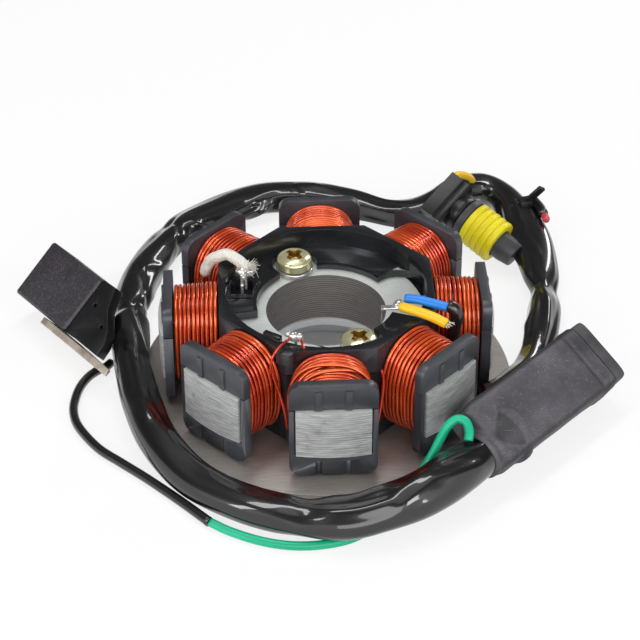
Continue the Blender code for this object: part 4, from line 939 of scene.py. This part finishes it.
def crossingTurns(rng):
    # loose turns that lie across the others on top of the front coil
    made = []
    for first, last, lift in crossings:
        share = np.linspace(0, 1, crossing["steps"])
        angle = math.radians(crossing["from"]) + math.radians(crossing["sweep"]) * share
        rise = lift * np.sin(share * math.pi) ** 0.35 - crossing["sink"]
        sway = crossing["sway"] * np.sin(7 * share + first * 900)
        x = winding["start"] + crossing["inset"] + first + (last - first) * share + sway
        y, z = oval(angle, winding["halfWidth"] + rise, winding["rise"] + rise, winding["fullness"])
        tones = np.full(crossing["steps"], rng.uniform(0.3, 1.0))
        made.append((np.stack([x, y, winding["middle"] + z], axis=1), tones))
    return made


def windCoil(index):
    # both layers of one pole, and the loose turns on the front one
    rng = np.random.default_rng(winding["seed"] + index)
    angle = math.radians(-90.0 + 45.0 * index)
    routes = []
    for drop, shift, turns, dark in layers:
        route, tones = windingPath(rng, turns, drop, shift)
        # painted shade: the lower layer's values are lowered, so it is painted dark
        routes.append((route, tones - dark))
    if index == 0:
        routes += crossingTurns(rng)
    made = []
    for route, tones in routes:
        made.append(tubePiece("layer", turned(route, angle), winding["wire"] / 2, copperFinish,
                              winding["sides"], toneAndShade=tones))
        markGapShade(made[-1], route, angle)
    settle(joinPieces("winding%d" % (index + 1), made), "enamelled_copper", "coil_%d" % (index + 1))


for index in range(8):
    windCoil(index)
print("windings")


# screws and washers

screw = {"seat": 0.0251, "head": 0.0047, "rise": 0.0036, "wall": 0.0019, "shank": 0.0025, "tail": 0.0051,
         "tip": 0.0004, "lip": 0.0003, "turn": 0.4, "edge": 0.00014, "span": 0.0025, "arm": 0.00075,
         "depth": 0.0019, "well": [(0.0005, 0.0024), (0.0014, 0.0019), (0.0017, -0.001)], "sides": 48}
washer = {"ring": [(0.0049, 0.0238), (0.0050, 0.0239), (0.0050, 0.0246), (0.00485, 0.0248)],
          "hole": 0.0028, "through": (0.0228, 0.0258), "edge": 0.00008}


def screwPiece(name, where):
    # a shank, a straight wall and a dome, with a cross recess cut into it
    seat, r, wall, shank = screw["seat"], screw["head"], screw["wall"], screw["shank"]
    dome = [(r * math.cos(a) ** 0.8, seat + wall + (screw["rise"] - wall) * math.sin(a))
            for a in np.linspace(0.10, 1.35, 10)]
    head = turnUp(name, [
        (shank - screw["tip"], screw["tail"]), (shank, screw["tail"] + screw["tip"]), (shank, seat),
        (r - screw["lip"], seat), (r, seat + screw["lip"]), (r, seat + wall * 0.8)] + dome,
        screw["sides"], yellowZinc, where)
    top = seat + screw["rise"]
    # the cutters lend their painted-shade zinc to the recess walls
    for quarter in (0, math.pi / 2):
        low = (-screw["span"], -screw["arm"], top - screw["depth"])
        high = (screw["span"], screw["arm"], top + 0.001)
        cutWith(head, block("arm", low, high, recessShadeZinc, where @ Matrix.Rotation(quarter, 4, "Z")))
    well = [(radius, top - depth) for radius, depth in screw["well"]]
    cutWith(head, turnUp("well", well, 20, recessShadeZinc, where))
    return softEdges(head, screw["edge"], 2, 30.0)


for index, (x, y, angle) in enumerate(screwPlaces):
    where = Matrix.Translation((x, y, 0))
    head = screwPiece("screwHead%d" % (index + 1), where @ Matrix.Rotation(angle + screw["turn"], 4, "Z"))
    settle(head, "yellow_zinc_screw", "screw_%d" % (index + 1))
    ring = turnUp("washerRing%d" % (index + 1), washer["ring"], screw["sides"], brightSteel, where)
    drill(ring, washer["hole"], *washer["through"], 32, where)
    settle(softEdges(ring, washer["edge"], 1, 40.0), "bright_steel", "washer_%d" % (index + 1))
print("screws and washers")


# terminals, leads and tails

solder = {"voxel": 0.00013, "smooth": 14, "rough": 0.00004, "scale": 420.0, "pin": 0.0007}
terminals = {  # name, seed, beads as place and radius, and pins as routes
    "left_terminal": ("leftTerminal", 2.0, [((-.0218, .0041, .0290), 0.00055)],
                      [[(-.0219, .0047, .0322), (-.0219, .0045, .0300), (-.0218, .0041, .0272)],
                       [(-.0208, .0055, .0330), (-.0208, .0053, .0305), (-.0208, .0050, .0272)]]),
    "right_terminal": ("rightTerminal", 5.0, [], []),
    "front_terminal": ("frontTerminal", 9.0, [((-.0093, -.0231, .0322), 0.00130),
                                              ((-.0078, -.0235, .0324), 0.00100),
                                              ((-.0106, -.0226, .0326), 0.00075)], [])}
leads = {"white": 0.0031, "lump": 0.0028, "whiteCore": 0.0011, "copperCore": 0.0012, "blue": 0.0024,
         "yellow": 0.0026, "outgoing": 0.0034, "strayLeft": 0.00075, "strayRight": 0.00075, "tail1": 0.0007,
         "tail2": 0.0007}
leadRoutes = {
    "white": [(-.0316, .0138, .0262), (-.0309, .0137, .0288), (-.0295, .0131, .0314), (-.0276, .0123, .0330),
              (-.0256, .0119, .0336), (-.0240, .0110, .0334), (-.0226, .0097, .0331), (-.0214, .0084, .0328)],
    "lump": [(-.0220, .0090, .0329), (-.0208, .0078, .0328), (-.0196, .0068, .0324)],
    "whiteCore": [(-.0326, .0134, .0160), (-.0324, .0135, .0220), (-.0316, .0138, .0266)],
    "copperCore": [(-.0233, .0087, .0316), (-.0223, .0084, .0314), (-.0212, .0080, .0306)],
    "blue": [(.0198, -.0092, .0331), (.0222, -.0098, .0332), (.0250, -.0108, .0331), (.0280, -.0120, .0329),
             (.0312, -.0133, .0326)],
    "yellow": [(.0184, -.0123, .0328), (.0222, -.0147, .0330), (.0262, -.0174, .0330),
               (.0297, -.0198, .0324)],
    "outgoing": [(.0306, -.0128, .0331), (.0320, -.0134, .0325), (.0329, -.0138, .0305),
                 (.0322, -.0134, .0250), (.0316, -.0131, .0180), (.0318, -.0132, .0120),
                 (.0334, -.0139, .0078), (.0362, -.0149, .0065), (.0390, -.0159, .0064)],
    "strayLeft": [(-.0151, -.0305, .0280), (-.0144, -.0309, .0248), (-.0131, -.0317, .0206),
                  (-.0120, -.0333, .0165), (-.0113, -.0345, .0118)],
    "strayRight": [(.0126, -.0300, .0262), (.0131, -.0306, .0228), (.0126, -.0322, .0180),
                   (.0116, -.0344, .0128)],
    "tail1": [(-.0099, -.0242, .0326), (-.0122, -.0272, .0329), (-.0144, -.0296, .0316),
              (-.0152, -.0306, .0290), (-.0152, -.0308, .0264)],
    "tail2": [(-.0077, -.0244, .0326), (-.0073, -.0273, .0336), (-.0068, -.0298, .0334)]}


def leadPiece(name, route, diameter, material, bulge, sides=20, step=0.0005):
    # a short lead with a slightly uneven skin and rounded ends
    centres, marks = smoothRoute(route, step)
    turn = roundAngles(sides)[None, :]
    swell = 1 + bulge * np.sin(marks[:, None] * 900 + 2 * turn) * np.cos(marks[:, None] * 410 - turn)
    ends = np.clip(np.minimum(marks, marks[-1] - marks)[:, None] / (diameter * 0.12), 0, 1)
    radii = diameter / 2 * swell * (0.86 + 0.14 * np.sqrt(ends))
    return tubePiece(name, centres, radii, material, sides)


def strands(name, root, direction, count, length, thickness, spread, material, seed):
    # fine loose ends that splay from a cut
    rng = np.random.default_rng(seed)
    made = []
    for _ in range(count):
        aim = np.array(direction) + rng.normal(0, spread, 3)
        aim /= np.linalg.norm(aim)
        start = np.array(root) + rng.normal(0, 0.0005, 3)
        reach = length * rng.uniform(0.5, 1.0)
        curl = rng.normal(0, 0.25 * reach, 3)
        route = [start, start + aim * reach * 0.5 + curl * 0.4, start + aim * reach + curl]
        centres, marks = smoothRoute(route, reach / 8)
        made.append(tubePiece("strand", centres, thickness * np.linspace(1, 0.6, len(centres)), material, 6))
    return made


def lead(key, name, material, bulge, sides=20, step=0.0005):
    # a lead whose route and diameter are in the tables above
    return leadPiece(name, leadRoutes[key], leads[key], material, bulge, sides, step)


def bead(place, radius):
    # a drop of solder, a little longer than wide
    bpy.ops.object.select_all(action="DESELECT")
    bpy.ops.mesh.primitive_ico_sphere_add(subdivisions=4, radius=radius, location=(0, 0, 0))
    drop = bpy.context.object
    drop.data.transform(Matrix.Translation(place) @ Matrix.Diagonal((1.0, 0.94, 1.08, 1)))
    return drop


def solderPiece(node, name, seed, beads, pins):
    # the node as a blob with no sharp edges, then its beads and pins
    piece = copyNode(node, name, solderFinish)
    applyModifier(piece, "REMESH", mode="VOXEL", voxel_size=solder["voxel"])
    applyModifier(piece, "SMOOTH", factor=0.5, iterations=solder["smooth"])
    roughen(piece, solder["rough"], solder["scale"], seed)
    parts = [piece] + [bead(place, radius) for place, radius in beads]
    parts += [leadPiece("pin", route, solder["pin"], solderFinish, 0.0, 12) for route in pins]
    piece = joinPieces(name, parts)
    piece.data.shade_smooth()
    return settle(onlyFinish(piece, solderFinish), "solder", node)


for node, (name, seed, beads, pins) in terminals.items():
    solderPiece(node, name, seed, beads, pins)
fray = strands("fray", (-.0200, .0071, .0327), (0.4, -0.4, 0.1), 110, 0.0024, 0.00009, 1.1, whiteBraid, 3)
torn = strands("torn", (.0296, -.0197, .0326), (0.8, -0.5, 0.25), 12, 0.0016, 0.00016, 0.5, whiteBraid, 8)
skin = [lead("white", "white", whiteBraid, 0.06), lead("lump", "lump", whiteBraid, 0.14)]
cores = [lead("copperCore", "copperCore", copperFinish, 0.03, 12),
         lead("whiteCore", "whiteCore", copperFinish, 0.0, 12)]
whiteLead = joinPieces("whiteLead", skin + fray + cores)
settle(whiteLead, "white_insulation", "white_lead")
settle(lead("blue", "blueLead", blueSkin, 0.05), "blue_insulation", "blue_lead")
yellowLead = joinPieces("yellowLead", [lead("yellow", "yellow", yellowSkin, 0.01)] + torn)
settle(yellowLead, "yellow_insulation", "yellow_lead")
settle(lead("outgoing", "outgoingLead", thinSleeveFinish, 0.03), "black_sleeving", "outgoing_lead")
stray = [lead(key, key, copperFinish, 0.0, 12, 0.0004) for key in ("strayLeft", "strayRight")]
settle(joinPieces("looseWires", stray), "enamelled_copper")
for key, name, node in (("tail1", "coilTail1", "coil_tail_1"), ("tail2", "coilTail2", "coil_tail_2")):
    settle(lead(key, name, copperFinish, 0.0, 10, 0.0003), "enamelled_copper", node)
print("terminals and leads")


# the rubber hood and its plug

hood = {"length": 0.0444, "width": 0.0190, "depth": 0.0120, "wall": 0.0013, "mouth": 0.0120, "bore": 0.0051,
        "tilt": 31.0, "turn": 45.3, "origin": (.0364, -.0412, .0106), "neckOffset": (-.0026, -.0004),
        "sides": 72, "voxel": 0.00040, "rough": 0.00010, "scale": 190.0}
hoodEnds = [  # place along the hood, and how much wider it is there
    (0.0, -0.0018), (0.0004, -0.0010), (0.0012, -0.0004), (0.0030, 0.0), (0.014, -0.00012),
    (hood["length"] - 0.012, -0.0001), (hood["length"] - 0.0044, 0.0), (hood["length"] - 0.0039, 0.0003),
    (hood["length"] - 0.0005, 0.0003), (hood["length"], -0.0001)]
hoodNeck = [  # place along the hood, radius, and rise in mm
    (-0.0026, .0058, 0), (-0.0022, .0064, 0), (-0.0012, .0064, 0), (-0.0008, .0060, 0), (-0.0002, .0061, 0),
    (0.0002, .0065, 0.1), (0.0014, .0065, 0.4), (0.0018, .0062, 0.6), (0.0030, .0064, 1.0),
    (0.0054, .0069, 1.7), (0.0062, .0069, 1.9), (0.0067, .0080, 2.0), (0.0084, .0081, 2.1),
    (0.0092, .0071, 2.0), (0.0104, .0048, 1.5)]
turn, tilt = math.radians(hood["turn"]), math.radians(hood["tilt"])
hoodAlong = Vector((math.cos(turn), math.sin(turn), 0))
hoodAcross = Vector((-math.sin(turn), math.cos(turn), 0)) * math.cos(tilt) + Vector((0, 0, math.sin(tilt)))
hoodFrame = axesFrame(hoodAlong, hoodAcross, hoodAlong.cross(hoodAcross), hood["origin"])


def ovalRing(x, halfY, halfZ, fullness, centre=(0.0, 0.0)):
    sides = hood["sides"]
    y, z = oval((np.arange(sides) + 0.5) * 2 * math.pi / sides, halfY, halfZ, fullness)
    return np.stack([np.full(sides, x), centre[0] + y, centre[1] + z], axis=1)


def hoodRings(inset, stations, fullness):
    return [ovalRing(x, hood["width"] / 2 - inset + grow, hood["depth"] / 2 - inset + grow, fullness)
            for x, grow in stations]


def loftPiece(name, rings):
    # rings of equal count, bridged in order and closed at both ends
    piece = newPiece(name, np.vstack(rings), tubeFaces(len(rings), len(rings[0])), hoodFinish)
    piece.data.transform(hoodFrame)
    openMesh(piece)
    bpy.ops.mesh.normals_make_consistent(inside=False)
    return closeMesh(piece)


def makeHood():
    # a flat box with a round neck at one end and an open mouth at the other
    length = hood["length"]
    side, rise = hood["neckOffset"]
    piece = loftPiece("rubberHood", hoodRings(0.0, hoodEnds, 6.5))
    neck = [ovalRing(x, r, r, 2.0, (side, rise + 0.0010 * up)) for x, r, up in hoodNeck]
    cutWith(piece, loftPiece("neck", neck), "UNION")
    mouth = hoodRings(hood["wall"], [(length - hood["mouth"], 0.0), (length + 0.001, 0.0)], 7.5)
    cutWith(piece, loftPiece("mouth", mouth))
    bore = [ovalRing(x, hood["bore"], hood["bore"], 2.0, hood["neckOffset"]) for x in (-0.004, 0.004)]
    cutWith(piece, loftPiece("bore", bore))
    applyModifier(piece, "REMESH", mode="VOXEL", voxel_size=hood["voxel"])
    applyModifier(piece, "SMOOTH", factor=0.5, iterations=5)
    onlyFinish(piece, hoodFinish)
    piece.data.shade_smooth()
    roughen(piece, hood["rough"], hood["scale"])
    back = hoodFrame.inverted()
    keepOnPoints(piece, "edge", [bareEdgeAndNeckShade(*(back @ vertex.co)) for vertex in piece.data.vertices])
    return settle(piece, "dusty_rubber", "rubber_hood")


def bareEdgeAndNeckShade(x, y, z):
    # black where the dust is rubbed off: the long edges and a line by the mouth; painted shade on the neck
    # beside its ring
    long = (abs(y) - hood["width"] / 2 + 0.0016) / 0.0008
    line = 1 - abs(x - (hood["length"] - 0.0052)) / 0.0007
    # painted shade: the raised neck beside its ring is painted dark
    neck = 0.8 * min(1.0, (z - hood["depth"] / 2 - 0.0001) / 0.0003) if x < 0.0063 or x > 0.0089 else 0.0
    return min(1.0, max(0.0, long, line, neck))


rubberHood = makeHood()
plugBody = dressNode("plug_body", "plugBody", plugPlastic, "black_plastic", 0.0003)
print("hood and plug")


# the pickup

pickupCover = dressNode("pickup_cover", "pickupCover", capFinish, "dusty_cap", 0.0003)
pickupBody = dressNode("pickup_body", "pickupBody", blackPlastic, "black_plastic", 0.0003)
pickupFoot = dressNode("pickup_foot", "pickupFoot", stripSteel, "bright_steel", 0.0002)
print("pickup")


# the sealed plug, the tie and the short leads

seal = {"radius": 0.0065, "half": 0.0061, "shown": 0.0102, "ribs": 5, "groove": 0.00050, "sides": 64,
        "core": 0.00436, "along": (0.715, -0.615, -0.33), "across": (0.688, 0.540, 0.483),
        "middle": (0.0490, 0.0546, 0.0087)}
along = Vector(seal["along"]).normalized()
across = Vector(seal["across"])
across = (across - along * across.dot(along)).normalized()
plugFrame = axesFrame(across, along.cross(across), along, seal["middle"])
ribs = [(seal["radius"] - seal["groove"] * (1 - abs(math.sin(math.pi * seal["ribs"] * t)) ** 0.35),
         -seal["half"] + seal["shown"] * t) for t in np.linspace(0, 1, 71)]
plugSeal = turnUp("plugSeal", ribs, seal["sides"], sealFinish, plugFrame)
drill(plugSeal, seal["core"], -seal["half"] - 0.001, seal["half"] + 0.001, 48, plugFrame)
settle(smoothBy(plugSeal, 60.0), "yellow_seal", "plug_seal")
plugCollar = dressNode("plug_collar", "plugCollar", greyPlastic, "dark_grey_plastic", 0.0002)
latchBox = dressNode("plug_latch_box", "plugLatchBox", blackPlastic, "black_plastic", 0.00025)
plugRoute = [(.0404, .0714, .0168), (.0411, .0729, .0172), (.0424, .0744, .0166), (.0442, .0762, .0152),
             (.0459, .0779, .0132), (.0470, .0791, .0108)]
plugLead = leadPiece("plugLead", plugRoute, 0.0022, yellowSkin, 0.01)
settle(plugLead, "yellow_insulation", "plug_lead")

tie = {"middle": (.0603, .0693, .0050), "ahead": (-0.21, 0.977, 0.0), "side": (0.977, 0.21, 0.0),
       "wide": 0.00545, "high": 0.0050, "lift": 0.0004, "band": 0.00055, "rows": (-0.0008, 0.0, 0.0008),
       "base": (.0612, .0682, .0102), "tip": (.0657, .0664, .0166), "headTurn": 0.25,
       "head": ((-0.0019, -0.0019, -0.0012), (0.0019, 0.0019, 0.0014)), "tail": (0.0011, 0.0005),
       "flat": (0.3, -0.8, 0.2)}


def cableTie():
    # a thin band round the sleeve, its small head on top and the cut tail leaning out to the right
    middle, ahead, side = [Vector(tie[key]) for key in ("middle", "ahead", "side")]
    base, tip = Vector(tie["base"]), Vector(tie["tip"])
    up = Vector((0, 0, 1))
    band = [middle + (side * tie["wide"] * math.cos(a) + up * tie["high"] * math.sin(a) + up * tie["lift"])
            for a in np.linspace(0, 2 * math.pi, 41)]
    parts = [tubePiece("band", np.array([p + ahead * row for p in band]), tie["band"], blackPlastic, 10)
             for row in tie["rows"]]
    head = block("head", *tie["head"], blackPlastic,
                 Matrix.Translation(base) @ Matrix.Rotation(tie["headTurn"], 4, "Z"))
    parts.append(softEdges(head, 0.0004, 2, 30.0))
    aim = (tip - base).normalized()
    wide = aim.cross(Vector(tie["flat"])).normalized()
    x, y = tie["tail"]
    tail = block("tail", (-x, -y, 0.0), (x, y, (tip - base).length), blackPlastic,
                 axesFrame(wide, aim.cross(wide), aim, base))
    parts.append(softEdges(tail, 0.00016, 1, 30.0))
    return joinPieces("sleeveTie", parts)


sleeveTie = settle(cableTie(), "black_plastic", "sleeve_tie")
spareRoute = [(.0640, .0698, .0100), (.0652, .0656, .0103), (.0659, .0618, .0104)]
spareLead = leadPiece("spareLead", spareRoute, 0.0030, thinSleeveFinish, 0.02)
settle(spareLead, "black_sleeving", "spare_lead")
endRoute = [(.0660, .0614, .0104), (.0662, .0600, .0104), (.0663, .0588, .0104)]
spareLeadEnd = leadPiece("spareLeadEnd", endRoute, 0.0022, redSkin, 0.01)
settle(spareLeadEnd, "red_insulation", "spare_lead_end")
print("sealed plug and tie")


# floor, world and lights

stage = {"floorGlow": 0.80, "floorColour": 0.92, "shade": (0.030, 0.040), "world": 0.24,
         "bright": 0.22, "dusk": 0.42, "dark": 0.10, "aim": (0, 0, 0.01)}
bpy.ops.object.select_all(action="DESELECT")
bpy.ops.mesh.primitive_plane_add(size=6.0, location=(0, 0, -0.0003))
floor = bpy.context.object
floor.name = "floor"
paper = Finish("floorPaper")
glow = paper.node("Emission", {}, {"Color": (1, 1, 1, 1), "Strength": 1.0})
beyond = paper.mask(paper.radius(), *stage["shade"])  # under the bore the floor lies in the shade
paper.set(Base_Color=(stage["floorColour"],) * 3 + (1,), Roughness=0.9)
plain = Wire(paper, paper.tree.nodes["Principled BSDF"].outputs[0])
mixed = paper.node("MixShader", {}, {0: paper.seen() * beyond * stage["floorGlow"], 1: plain, 2: glow})
paper.feed(paper.tree.nodes["Material Output"].inputs["Surface"], mixed)
floor.data.materials.append(paper.data)

world = bpy.data.worlds.new("world")
bpy.context.scene.world = world
air = Finish("air", world)
backdrop = air.tree.nodes["Background"]
backdrop.inputs["Color"].default_value = (1, 1, 1, 1)
aim = air.node("TexCoord", {}, {}, "Generated")
upward, backward = [air.node("SeparateXYZ", {}, {"Vector": aim}, axis) for axis in "ZY"]
above = upward + backward * 0.5
dim = air.mask(above, stage["bright"], stage["dusk"])  # a dark ceiling and back, but not for the camera
dim = dim * (1 - air.ray("Camera")) * (1 - stage["dark"])
air.feed(backdrop.inputs["Strength"], air.seen() * (1 - dim - stage["world"]) + stage["world"])

lamps = [  # name, place, width, height, power
    ("topStrip", (-0.12, 0.12, 0.70), 0.60, 0.10, 1.7),
    ("topSoftbox", (0.10, -0.05, 0.90), 0.70, 0.50, 0.9),
    ("leftStrip", (-0.58, -0.40, 0.42), 0.10, 0.45, 1.6),
    ("rightStrip", (0.52, -0.56, 0.50), 0.12, 0.40, 1.7),
    ("backStrip", (0.42, 0.56, 0.36), 0.08, 0.40, 1.2),
    ("frontSoftbox", (0.05, -0.90, 0.46), 0.90, 0.50, 4.4)]
for name, place, width, height, power in lamps:
    data = bpy.data.lights.new(name, "AREA")
    data.shape = "RECTANGLE"
    data.size = width
    data.size_y = height
    data.energy = power
    lamp = bpy.data.objects.new(name, data)
    lamp.location = place
    lamp.rotation_euler = (Vector(stage["aim"]) - Vector(place)).to_track_quat("-Z", "Y").to_euler()
    bpy.context.scene.collection.objects.link(lamp)
bpy.context.scene.view_settings.view_transform = "Standard"
print("lights")
